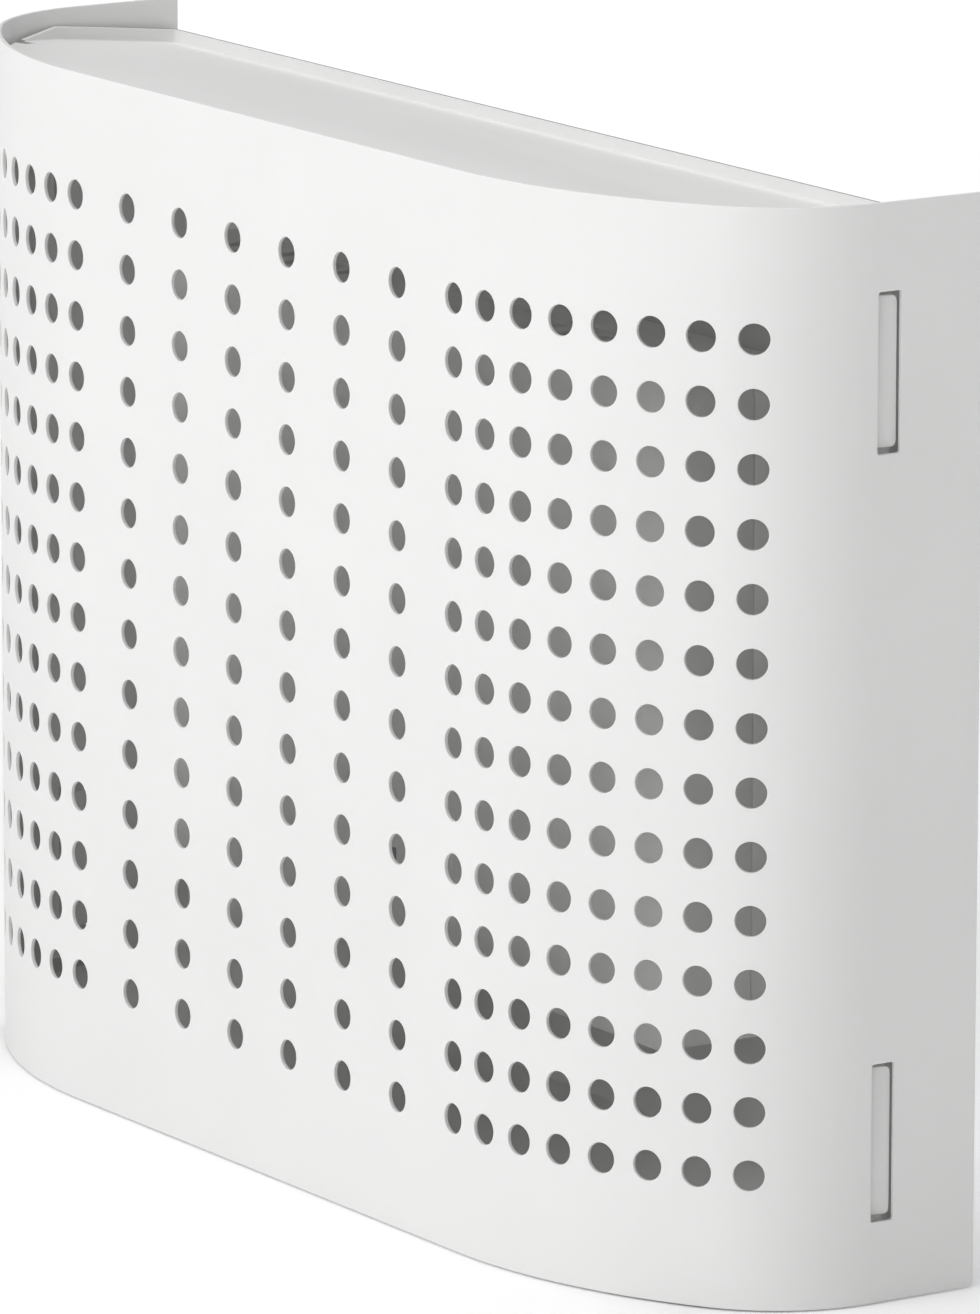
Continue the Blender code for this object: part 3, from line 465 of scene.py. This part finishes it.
def light_package(name):
    """A board light: ivory ceramic with a small amber window of gel in its middle."""
    made = Finish(name)
    x, _, z = made.axes()
    low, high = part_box("status_light_1")
    across = (x + LIGHT_START - low.x).repeat(LIGHT_PITCH) - (LIGHT_START % LIGHT_PITCH) \
        - (high.x - low.x) / 2
    gel = (across.size() < GEL_WINDOW[0]) \
        * ((z - (low.z + high.z) / 2).size() < GEL_WINDOW[1])
    grain = made.noise(0.0004, 2.0)
    base = made.mix(made.steps(grain, 0.35, 0.7), (0.80, 0.79, 0.72), (0.88, 0.87, 0.80))
    base = made.mix(gel, base, (0.82, 0.66, 0.16))
    rough = made.steps(gel, 0.0, 1.0, 0.5, 0.18)
    return made.set(Base_Color=base, Roughness=rough,
                    Normal=made.bump(grain, 0.00001, 0.6)).material


# Surfaces

def add_piece(name, mesh, look, body, slot, *nodes):
    """Shows a mesh in place of its CAD nodes, riding on one body."""
    piece = bpy.data.objects.new(name, mesh)
    bpy.context.scene.collection.objects.link(piece)
    mesh.materials.clear()
    mesh.materials.append(look)
    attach(piece, body)
    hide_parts(*nodes)
    return piece


def mesh_of(name, points, faces, normals=None):
    """A mesh of four-sided faces from whole arrays. Points that no face uses are dropped."""
    used, faces = np.unique(faces, return_inverse=True)
    faces = faces.reshape(-1, 4)
    points = points[used]
    mesh = bpy.data.meshes.new(name)
    mesh.vertices.add(len(points))
    mesh.vertices.foreach_set("co", points.astype(np.float32).ravel())
    mesh.loops.add(faces.size)
    mesh.loops.foreach_set("vertex_index", faces.astype(np.int32).ravel())
    mesh.polygons.add(len(faces))
    mesh.polygons.foreach_set("loop_start", np.arange(0, faces.size, 4, dtype=np.int32))
    mesh.update(calc_edges=True)
    mesh.validate()
    mesh.shade_smooth()
    if normals is not None:
        mesh.normals_split_custom_set_from_vertices(normals[used].astype(np.float32))
    return mesh


def cover_place(flat, inward):
    """Places of developed points (s, z), moved inward from mid-sheet, with the outward and sideways
    directions there. Along s the plan is flat, then an arc of ARC_RADIUS up to ARC_ANGLE, then an
    arc of CORNER_RADIUS up to a right angle, then straight back."""
    s, z = flat[..., 0], flat[..., 1]
    side, run = np.where(s < 0, -1.0, 1.0), np.abs(s)
    first = np.clip((run - HALF_FLAT) / ARC_RADIUS, 0.0, ARC_ANGLE)
    turn = first + np.clip((run - S_CORNER) / CORNER_RADIUS, 0.0, math.pi / 2 - ARC_ANGLE)
    x = np.minimum(run, HALF_FLAT) + ARC_RADIUS * np.sin(first) \
        + CORNER_RADIUS * (np.sin(turn) - np.sin(first))
    y = SHEET / 2 + ARC_RADIUS * (1 - np.cos(first)) \
        + CORNER_RADIUS * (np.cos(first) - np.cos(turn)) + np.maximum(run - S_SIDE, 0.0)
    out = np.stack([side * np.sin(turn), -np.cos(turn), 0 * s], -1)
    sideways = np.stack([np.cos(turn), side * np.sin(turn), 0 * s], -1)
    middle = np.stack([side * x, y + COVER_LOW.y, z + COVER_LOW.z], -1)
    return middle - out * np.asarray(inward)[..., None], out, sideways


def block_ring(across, up):
    """Grid steps round a block of cells, anticlockwise from its lower right corner."""
    right = [(across, k) for k in range(up)]
    top = [(across - k, up) for k in range(across)]
    left = [(0, up - k) for k in range(up)]
    bottom = [(k, 0) for k in range(across)]
    return np.array(right + top + left + bottom)


def round_loop(radius, count):
    """Points on a circle, anticlockwise from its lower right, and the directions to its middle."""
    turn = np.radians(-45.0) + 2 * math.pi * np.arange(count) / count
    ray = np.stack([np.cos(turn), np.sin(turn)], -1)
    return radius * ray, -ray


def slot_loop(size, radius, across, up):
    """Points on an upright slot with rounded corners, matched to the ring of a block of cells: each
    corner's middle goes to the block's corner and the rest are even along the straight sides."""
    points, inward = [], []
    for quarter in range(4):
        turn = quarter * math.pi / 2
        out = np.array([math.cos(turn), math.sin(turn)])
        along = np.array([-math.sin(turn), math.cos(turn)])
        near, far = (size[0] / 2, size[1] / 2)[::1 if quarter % 2 == 0 else -1]
        count = up if quarter % 2 == 0 else across
        bend = radius * math.sqrt(0.5)
        points.append((near - radius + bend) * out - (far - radius + bend) * along)
        inward.append((along - out) * math.sqrt(0.5))
        for step in np.linspace(radius - far, far - radius, count - 1):
            points.append(near * out + step * along)
            inward.append(-out)
    return np.array(points), np.array(inward)


def ring_faces(outer, inner):
    """Faces between rings of equal count, outer anticlockwise round inner, any number at once."""
    outer_next, inner_next = np.roll(outer, -1, -1), np.roll(inner, -1, -1)
    return np.stack([outer, outer_next, inner_next, inner], -1).reshape(-1, 4)


def sheet_shell(name, flat, faces, loops, edge, place):
    """A closed sheet from one developed face. Every loop of cut edge has the material on its right;
    each is carried through the thickness as a quarter round, a straight wall and another quarter
    round: at turn t the edge stands out by edge * sin t and in by edge * (1 - cos t)."""
    count = len(flat)
    loop_ids = np.concatenate([ids.ravel() for ids, _ in loops])
    lateral = np.concatenate([way.reshape(-1, 2) for _, way in loops])
    starts = np.cumsum([0] + [ids.size for ids, _ in loops])
    turns = [(math.pi / 4, 1), (math.pi / 2, 1), (math.pi / 2, -1), (math.pi / 4, -1)]
    half = SHEET / 2
    front, out, _ = place(flat, -half)
    back, _, _ = place(flat, half)
    points, normals = [front, back], [out, -out]
    for turn, side in turns:
        moved = flat[loop_ids] + lateral * edge * math.sin(turn)
        depth = -side * (half - edge * (1 - math.cos(turn)))
        point, out, sideways = place(moved, depth)
        way = sideways * lateral[:, :1]
        way[:, 2] += lateral[:, 1]
        points.append(point)
        normals.append(side * math.cos(turn) * out + math.sin(turn) * way)
    quads = [faces, count + faces[:, ::-1]]
    rings = [loop_ids]
    rings += [2 * count + k * len(loop_ids) + np.arange(len(loop_ids)) for k in range(4)]
    rings.append(count + loop_ids)
    for first, second in zip(rings, rings[1:]):
        for (ids, _), start in zip(loops, starts):
            part = slice(start, start + ids.size)
            quads.append(ring_faces(first[part].reshape(ids.shape),
                                    second[part].reshape(ids.shape)))
    return mesh_of(name, np.concatenate(points), np.concatenate(quads), np.concatenate(normals))


def cover_columns():
    """Developed length of each column of holes, and of the left and right edges of its cells."""
    wide = WIDE_PITCH * (np.arange(WIDE_COLUMNS) - (WIDE_COLUMNS - 1) / 2)
    first = WIDE_PITCH * (WIDE_COLUMNS / 2 + 0.5)
    narrow = first + NARROW_PITCH * np.arange(NARROW_COLUMNS)
    bounds = np.concatenate([WIDE_PITCH * np.arange(WIDE_COLUMNS // 2),
                             first + NARROW_PITCH * (np.arange(NARROW_COLUMNS + 1) - 0.5)])
    bounds = np.concatenate([-bounds[:0:-1], bounds])
    return np.concatenate([-narrow[::-1], wide, narrow]), bounds


def cover_grid(edge):
    """Lengths and heights of the cover's grid lines, 6 to each cell of the pattern. Heights run to
    the rims, and at the rear corners the last rows follow the corner's round."""
    _, bounds = cover_columns()
    inside = np.concatenate([np.linspace(a, b, CELL_STEPS + 1)[:-1]
                             for a, b in zip(bounds, bounds[1:])])
    last = bounds[-1]
    clear = SLOT_CLEAR[0]
    bend = np.linspace(last, S_SIDE - clear, BEND_LINES)
    slot_lines = np.linspace(S_SIDE - clear, S_SIDE + SLOT[0] + clear, SLOT_LINES)
    plain = np.linspace(slot_lines[-1], S_END - REAR_CORNER, PLAIN_LINES)
    corner = S_END - REAR_CORNER + (REAR_CORNER - edge) * np.sin(CORNER_TURNS)
    margin = np.concatenate([bend, slot_lines[1:], plain[1:], corner])
    s = np.concatenate([-margin[::-1], inside[1:], margin])
    half = ROW_PITCH * ROWS / 2
    rows = np.linspace(PATTERN_MIDDLE - half, PATTERN_MIDDLE + half, ROWS * CELL_STEPS + 1)
    past = np.clip((np.abs(s) - S_END + REAR_CORNER) / (REAR_CORNER - edge), 0.0, 1.0)
    drop = edge + (REAR_CORNER - edge) * (1 - np.sqrt(1 - past ** 2))
    part = np.arange(1, MARGIN_STEPS + 1) / MARGIN_STEPS
    above = rows[-1] + (HEIGHT - drop[:, None] - rows[-1]) * part
    below = rows[0] + (drop[:, None] - rows[0]) * part[::-1]
    z = np.concatenate([below, np.broadcast_to(rows, (len(s), len(rows))), above], 1)
    return s, z


def cover_mesh(sizes):
    """The whole perforated cover as one closed sheet: a grid over its developed face, in which each
    hole and each latch slot takes the place of a block of cells."""
    edge = sizes.edge
    s, z = cover_grid(edge)
    wide, tall = z.shape
    flat = np.stack([np.broadcast_to(s[:, None], z.shape), z], -1).reshape(-1, 2)
    ids = np.arange(wide * tall).reshape(wide, tall)
    keep = np.ones((wide - 1, tall - 1), bool)
    centres, bounds = cover_columns()
    first = int(np.argmin(np.abs(s - bounds[0])))
    left = first + CELL_STEPS * np.arange(len(centres))
    low = MARGIN_STEPS + CELL_STEPS * np.arange(ROWS)
    keep[left[0]:left[-1] + CELL_STEPS, low[0]:low[-1] + CELL_STEPS] = False
    rows = PATTERN_MIDDLE + ROW_PITCH * (np.arange(ROWS) - (ROWS - 1) / 2)
    ring = block_ring(CELL_STEPS, CELL_STEPS)
    corner = np.stack(np.meshgrid(left, low, indexing="ij"), -1).reshape(-1, 1, 2) + ring
    middle = np.stack(np.meshgrid(centres, rows, indexing="ij"), -1).reshape(-1, 1, 2)
    loop, inward = round_loop(sizes.hole / 2 + edge, len(ring))
    hole_points = middle + loop
    hole_ids = flat.shape[0] + np.arange(hole_points.size // 2).reshape(-1, len(ring))
    faces = [ring_faces(ids[corner[..., 0], corner[..., 1]], hole_ids)]
    loops = [(hole_ids, np.broadcast_to(inward, hole_points.shape))]
    flat = np.concatenate([flat, hole_points.reshape(-1, 2)])
    for side in (-1, 1):
        for up in (-1, 1):
            added, opening = cover_slot(s, z, ids, keep, len(flat), side, up, edge)
            flat = np.concatenate([flat, added])
            faces.append(opening[0])
            loops.append(opening[1])
    corners = np.stack([ids[:-1, :-1], ids[1:, :-1], ids[1:, 1:], ids[:-1, 1:]], -1)
    faces.append(corners[keep])
    loops.append(cover_outline(s, ids, edge))
    return sheet_shell("perforated_cover", flat, np.concatenate(faces), loops, edge, cover_place)


def cover_slot(s, z, ids, keep, count, side, up, edge):
    """One latch slot: its points, the faces round it and its loop of cut edge."""
    middle = np.array([side * (S_SIDE + SLOT_FROM_CORNER + SLOT[0] / 2),
                       SLOT_MIDDLE + up * SLOT_SPACING / 2])
    clear, reach = SLOT_CLEAR[0], SLOT[1] / 2 + SLOT_CLEAR[1]
    near, far = side * (S_SIDE - clear), side * (S_SIDE + SLOT[0] + clear)
    i0, i1 = np.sort([np.argmin(np.abs(s - near)), np.argmin(np.abs(s - far))])
    line = z[(i0 + i1) // 2]
    j0 = np.searchsorted(line, middle[1] - reach) - 1
    j1 = np.searchsorted(line, middle[1] + reach)
    keep[i0:i1, j0:j1] = False
    ring = block_ring(i1 - i0, j1 - j0) + (i0, j0)
    size = (SLOT[0] + 2 * edge, SLOT[1] + 2 * edge)
    loop, inward = slot_loop(size, SLOT_CORNER + edge, i1 - i0, j1 - j0)
    loop_ids = count + np.arange(len(loop))
    return middle + loop, (ring_faces(ids[ring[:, 0], ring[:, 1]], loop_ids), (loop_ids, inward))


def cover_outline(s, ids, edge):
    """The cover's outer edge, clockwise, with the direction out of the sheet at each point."""
    wide, tall = ids.shape
    past = np.clip((np.abs(s) - S_END + REAR_CORNER) / (REAR_CORNER - edge), 0.0, 1.0)
    away = np.stack([np.sign(s) * past, np.sqrt(1 - past ** 2)], -1)
    right = np.broadcast_to(np.array([1.0, 0.0]), (tall - 2, 2))
    loop = np.concatenate([ids[:, -1], ids[-1, -2:0:-1], ids[::-1, 0], ids[0, 1:-1]])
    way = np.concatenate([away, right, away[::-1] * (1, -1), -right])
    return loop, way


def welded(name, node):
    """A copy of a CAD solid's mesh, welded and with its flat faces joined."""
    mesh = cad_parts[node].data.copy()
    mesh.name = name
    bm = bmesh.new()
    bm.from_mesh(mesh)
    bmesh.ops.remove_doubles(bm, verts=bm.verts, dist=WELD_DISTANCE)
    bmesh.ops.dissolve_limit(bm, angle_limit=FLAT_WITHIN, verts=bm.verts, edges=bm.edges,
                             use_dissolve_boundaries=False)
    bm.to_mesh(mesh)
    bm.free()
    mesh.shade_smooth()
    return mesh


def round_edges(piece, width, segments, by_weight=False):
    """Rounds the sharp edges of a piece, or those that carry a bevel weight."""
    bevel = piece.modifiers.new("edges", "BEVEL")
    bevel.width = width
    bevel.segments = segments
    bevel.limit_method = "WEIGHT" if by_weight else "ANGLE"
    bevel.angle_limit = SHARP
    bevel.harden_normals = True


def softened(name, node, edge, look, body, slot):
    """A CAD solid's own shape with its edges rounded."""
    piece = add_piece(name, welded(name, node), look, body, slot, node)
    round_edges(piece, edge, EDGE_STEPS)
    return piece


def face_width(face):
    """How wide a long face is across its longest side."""
    return face.calc_area() / max(edge.calc_length() for edge in face.edges)


def bent_sheet(name, node, edge, bend, look, slot):
    """A folded sheet: cut edges get the paint's small round, inner folds the bend's radius and
    outer folds that radius and the sheet. A cut edge borders a face as narrow as the sheet."""
    mesh = welded(name, node)
    bm = bmesh.new()
    bm.from_mesh(mesh)
    weights = bm.edges.layers.float.new("bevel_weight_edge")
    outer = bend + SHEET
    for ridge in bm.edges:
        if not ridge.is_manifold or ridge.calc_face_angle() < SHARP:
            continue
        if min(map(face_width, ridge.link_faces)) < CUT_FACE_LIMIT:
            ridge[weights] = edge / outer
        else:
            ridge[weights] = 1.0 if ridge.is_convex else bend / outer
    bm.to_mesh(mesh)
    bm.free()
    piece = add_piece(name, mesh, look, "tray", slot, node)
    round_edges(piece, outer, FOLD_STEPS, by_weight=True)
    return piece


def repaint(look, *nodes):
    """Gives CAD nodes, whose shape stays as it is, a new finish in every slot."""
    for node in nodes:
        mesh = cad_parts[node].data
        if not mesh.materials:
            mesh.materials.append(look)
        for k in range(len(mesh.materials)):
            mesh.materials[k] = look


# Operators

class ROUTER_OT_cover(bpy.types.Operator):
    """Build the perforated cover that wraps round the front and both sides"""
    bl_idname = "router.cover"
    bl_label = "Perforated cover"

    def execute(self, context):
        sizes = context.scene.router_cover
        look = powder_coat("cover_powder_coat", tuple(sizes.colour), sizes.roughness, sizes.peel)
        add_piece("perforated_cover", cover_mesh(sizes), look, "cover", "cover_paint",
                  "front_cover")
        return {"FINISHED"}


class ROUTER_OT_tray(bpy.types.Operator):
    """Build the inner tray: its back and walls, the two pans and the latch tongues"""
    bl_idname = "router.tray"
    bl_label = "Inner tray"

    def execute(self, context):
        sizes = context.scene.router_tray
        peel = context.scene.router_cover.peel
        # The tray paint glows faintly: painted light in place of the light bounced round inside the
        # housing
        look = powder_coat("tray_powder_coat", tuple(sizes.colour), sizes.roughness, peel,
                           sizes.glow)
        for node in ("back_panel", "top_plate", "bottom_plate"):
            bent_sheet(f"tray_{node}", node, sizes.edge, sizes.bend, look, "tray_paint")
        for side in ("left", "right"):
            for place in ("lower", "upper"):
                node = f"latch_tongue_{side}_{place}"
                softened(f"painted_{node}", node, sizes.edge, look, node, "tray_paint")
        return {"FINISHED"}


class ROUTER_OT_module(bpy.types.Operator):
    """Build the router module's two case halves and its fixings"""
    bl_idname = "router.module"
    bl_label = "Module case"

    def execute(self, context):
        sizes = context.scene.router_module
        # The case plastic glows faintly too: painted light in place of the light bounced round
        # inside the housing
        look = moulded_plastic("case_plastic", tuple(sizes.case), 0.5,
                               glow=context.scene.router_tray.glow)
        for node in ("module_rear_case", "module_front_case"):
            softened(f"moulded_{node}", node, sizes.edge, look, "tray", "case_plastic")
        zinc = plated_steel("zinc_plate")
        repaint(zinc, *[f"case_screw_{k}" for k in range(1, 5)])
        repaint(zinc, *[f"board_screw_{k}" for k in range(1, 5)])
        repaint(zinc, *[f"module_standoff_{k}" for k in range(1, 5)])
        return {"FINISHED"}


class ROUTER_OT_board(bpy.types.Operator):
    """Finish the circuit board with its processor, heat sink, shields, antennas and lights"""
    bl_idname = "router.board"
    bl_label = "Circuit board"

    def execute(self, context):
        sizes = context.scene.router_module
        board = circuit_board("board_laminate", tuple(sizes.mask))
        repaint(board, "main_board", *[f"antenna_{k}" for k in range(1, 5)])
        repaint(chip_resin("chip_resin"), "processor")
        repaint(silicone_pad("silicone_pad"), "thermal_pad")
        repaint(brushed_aluminium("extruded_aluminium"), "heat_sink")
        repaint(plated_steel("tinned_steel", (0.68, 0.68, 0.66), 0.30, (1.0, 1.0, 0.06)),
                "radio_shield_1", "radio_shield_2")
        repaint(cable_jacket("cable_jacket"), *[f"antenna_cable_{k}" for k in range(1, 5)])
        repaint(clear_acrylic("clear_acrylic"), "light_pipe")
        repaint(light_package("light_package"), *[f"status_light_{k}" for k in range(1, 5)])
        return {"FINISHED"}


class ROUTER_OT_sockets(bpy.types.Operator):
    """Finish the sockets, the push buttons and the switches behind them"""
    bl_idname = "router.sockets"
    bl_label = "Sockets and buttons"

    def execute(self, context):
        dark = tuple(context.scene.router_module.dark)
        steel = plated_steel("socket_shell", (0.66, 0.66, 0.64), 0.28, (0.06, 1.0, 1.0))
        for node in ("lan_jack_block", "wan_jack"):
            softened(f"shielded_{node}", node, SOCKET_EDGE, steel, "tray", "shield_steel")
        black = moulded_plastic("black_plastic", dark, 0.42, 0.0004)
        softened("moulded_power_jack", "power_jack", SOCKET_EDGE, black, "tray",
                 "black_plastic")
        button = moulded_plastic("button_plastic", tone(dark, 1.3), 0.36, 0.0004)
        for node in ("power_button", "wps_button", "reset_button"):
            softened(f"moulded_{node}", node, BUTTON_EDGE, button, node, "button_plastic")
        repaint(black, "power_switch", "wps_switch", "reset_switch")
        return {"FINISHED"}


def direction(azimuth, elevation):
    """The way from the housing to something seen at that turn to the right and height."""
    reach = math.cos(elevation)
    return Vector((math.sin(azimuth) * reach, -math.cos(azimuth) * reach, math.sin(elevation)))


def area_light(name, azimuth, elevation, power):
    """A soft square light that faces the housing's middle; its place is in degrees."""
    light = bpy.data.lights.new(name, "AREA")
    light.size = LIGHT_SIZE
    light.energy = power
    lamp = bpy.data.objects.new(name, light)
    bpy.context.scene.collection.objects.link(lamp)
    back = direction(math.radians(azimuth), math.radians(elevation))
    lamp.location = MIDDLE + back * LIGHT_DISTANCE
    lamp.rotation_euler = (-back).to_track_quat("-Z", "Y").to_euler()


def floor_mesh():
    """A round floor level with the housing's lower rim: radius and turn on a grid."""
    turn = np.linspace(0.0, 2 * math.pi, FLOOR_TURNS + 1)[:-1]
    radius, turn = np.meshgrid(FLOOR_RADII, turn, indexing="ij")
    points = np.stack([radius * np.cos(turn), radius * np.sin(turn),
                       0 * radius + CAD_LOW.z - FLOOR_GAP], -1).reshape(-1, 3)
    ids = np.arange(len(points)).reshape(radius.shape)
    faces = ring_faces(ids[1:], ids[:-1])
    hub = ids[0]
    centre = np.full(FLOOR_TURNS // 2 - 1, hub[0])
    cap = np.stack([hub[:-2:2], hub[1:-1:2], hub[2::2], centre], -1)[1:]
    return mesh_of("studio_floor", points, np.concatenate([faces, cap]))


def add_camera(studio):
    """The camera, aimed at the housing's middle and then turned and tilted a little."""
    data = bpy.data.cameras.new("studio_camera")
    data.sensor_width = SENSOR
    data.lens = studio.lens
    data.clip_start, data.clip_end = 0.05, 100.0
    camera = bpy.data.objects.new("studio_camera", data)
    bpy.context.scene.collection.objects.link(camera)
    back = direction(studio.azimuth, studio.elevation)
    own = Matrix.Rotation(-studio.turn, 4, "Y") @ Matrix.Rotation(-studio.dip, 4, "X")
    facing = (-back).to_track_quat("-Z", "Y").to_matrix().to_4x4()
    camera.matrix_world = Matrix.Translation(MIDDLE + back * studio.distance) @ facing @ own
    bpy.context.scene.camera = camera


class ROUTER_OT_studio(bpy.types.Operator):
    """Set up the plain floor, the soft lights and the camera"""
    bl_idname = "router.studio"
    bl_label = "Studio"

    def execute(self, context):
        scene, studio = context.scene, context.scene.router_studio
        world = bpy.data.worlds.new("studio_surround")
        world.use_nodes = True
        surround = world.node_tree.nodes["Background"]
        surround.inputs["Color"].default_value = (1.0, 1.0, 1.0, 1.0)
        surround.inputs["Strength"].default_value = studio.surround
        scene.world = world
        finish = Finish("floor_paint")
        cloud = finish.noise(0.4, 2.0)
        shade = finish.mix(cloud, tone(studio.floor, 0.995), tuple(studio.floor))
        x, y, _ = finish.axes()
        beyond = (x.size() - WIDTH / 2).over(y.size() - DEPTH / 2)
        near = finish.steps(beyond, *GLOW_NEAR, 0.0, GLOW_BESIDE)
        far = finish.steps(beyond, *GLOW_FAR, 0.0, 1.0 - GLOW_BESIDE)
        glow = finish.mix(near + far, (0.0, 0.0, 0.0), (1.0, 1.0, 1.0))
        finish.set(Base_Color=shade, Roughness=0.8, Emission_Color=glow,
                   Emission_Strength=studio.glow)
        floor = bpy.data.objects.new("studio_floor", floor_mesh())
        floor.data.materials.append(finish.material)
        scene.collection.objects.link(floor)
        area_light("key_light", -5.0, 25.0, studio.key)
        area_light("fill_light", 35.0, 25.0, studio.fill)
        area_light("top_light", 0.0, 88.0, studio.top)
        scene.view_settings.view_transform = "Standard"
        add_camera(studio)
        return {"FINISHED"}


PIECES = (ROUTER_OT_cover, ROUTER_OT_tray, ROUTER_OT_module, ROUTER_OT_board,
          ROUTER_OT_sockets, ROUTER_OT_studio)
SETTINGS = {"router_cover": CoverSettings, "router_tray": TraySettings,
            "router_module": ModuleSettings, "router_studio": StudioSettings}


class ROUTER_PT_panel(bpy.types.Panel):
    """Lists every operator with the settings it reads"""
    bl_label = "Wireless router"
    bl_idname = "ROUTER_PT_panel"
    bl_space_type = "VIEW_3D"
    bl_region_type = "UI"
    bl_category = "Router"

    def draw(self, context):
        for operator in PIECES:
            self.layout.operator(operator.bl_idname)
        for name, group in SETTINGS.items():
            box = self.layout.box()
            settings = getattr(context.scene, name)
            for prop in group.__annotations__:
                box.prop(settings, prop)


def register():
    for group in SETTINGS.values():
        bpy.utils.register_class(group)
    for name, group in SETTINGS.items():
        setattr(bpy.types.Scene, name, PointerProperty(type=group))
    for operator in PIECES:
        bpy.utils.register_class(operator)
    bpy.utils.register_class(ROUTER_PT_panel)


def unregister():
    bpy.utils.unregister_class(ROUTER_PT_panel)
    for operator in reversed(PIECES):
        bpy.utils.unregister_class(operator)
    for name in SETTINGS:
        delattr(bpy.types.Scene, name)
    for group in reversed(SETTINGS.values()):
        bpy.utils.unregister_class(group)


def main():
    register()
    bpy.ops.router.cover()
    bpy.ops.router.tray()
    bpy.ops.router.module()
    bpy.ops.router.board()
    bpy.ops.router.sockets()
    bpy.ops.router.studio()


if __name__ == "__main__":
    main()
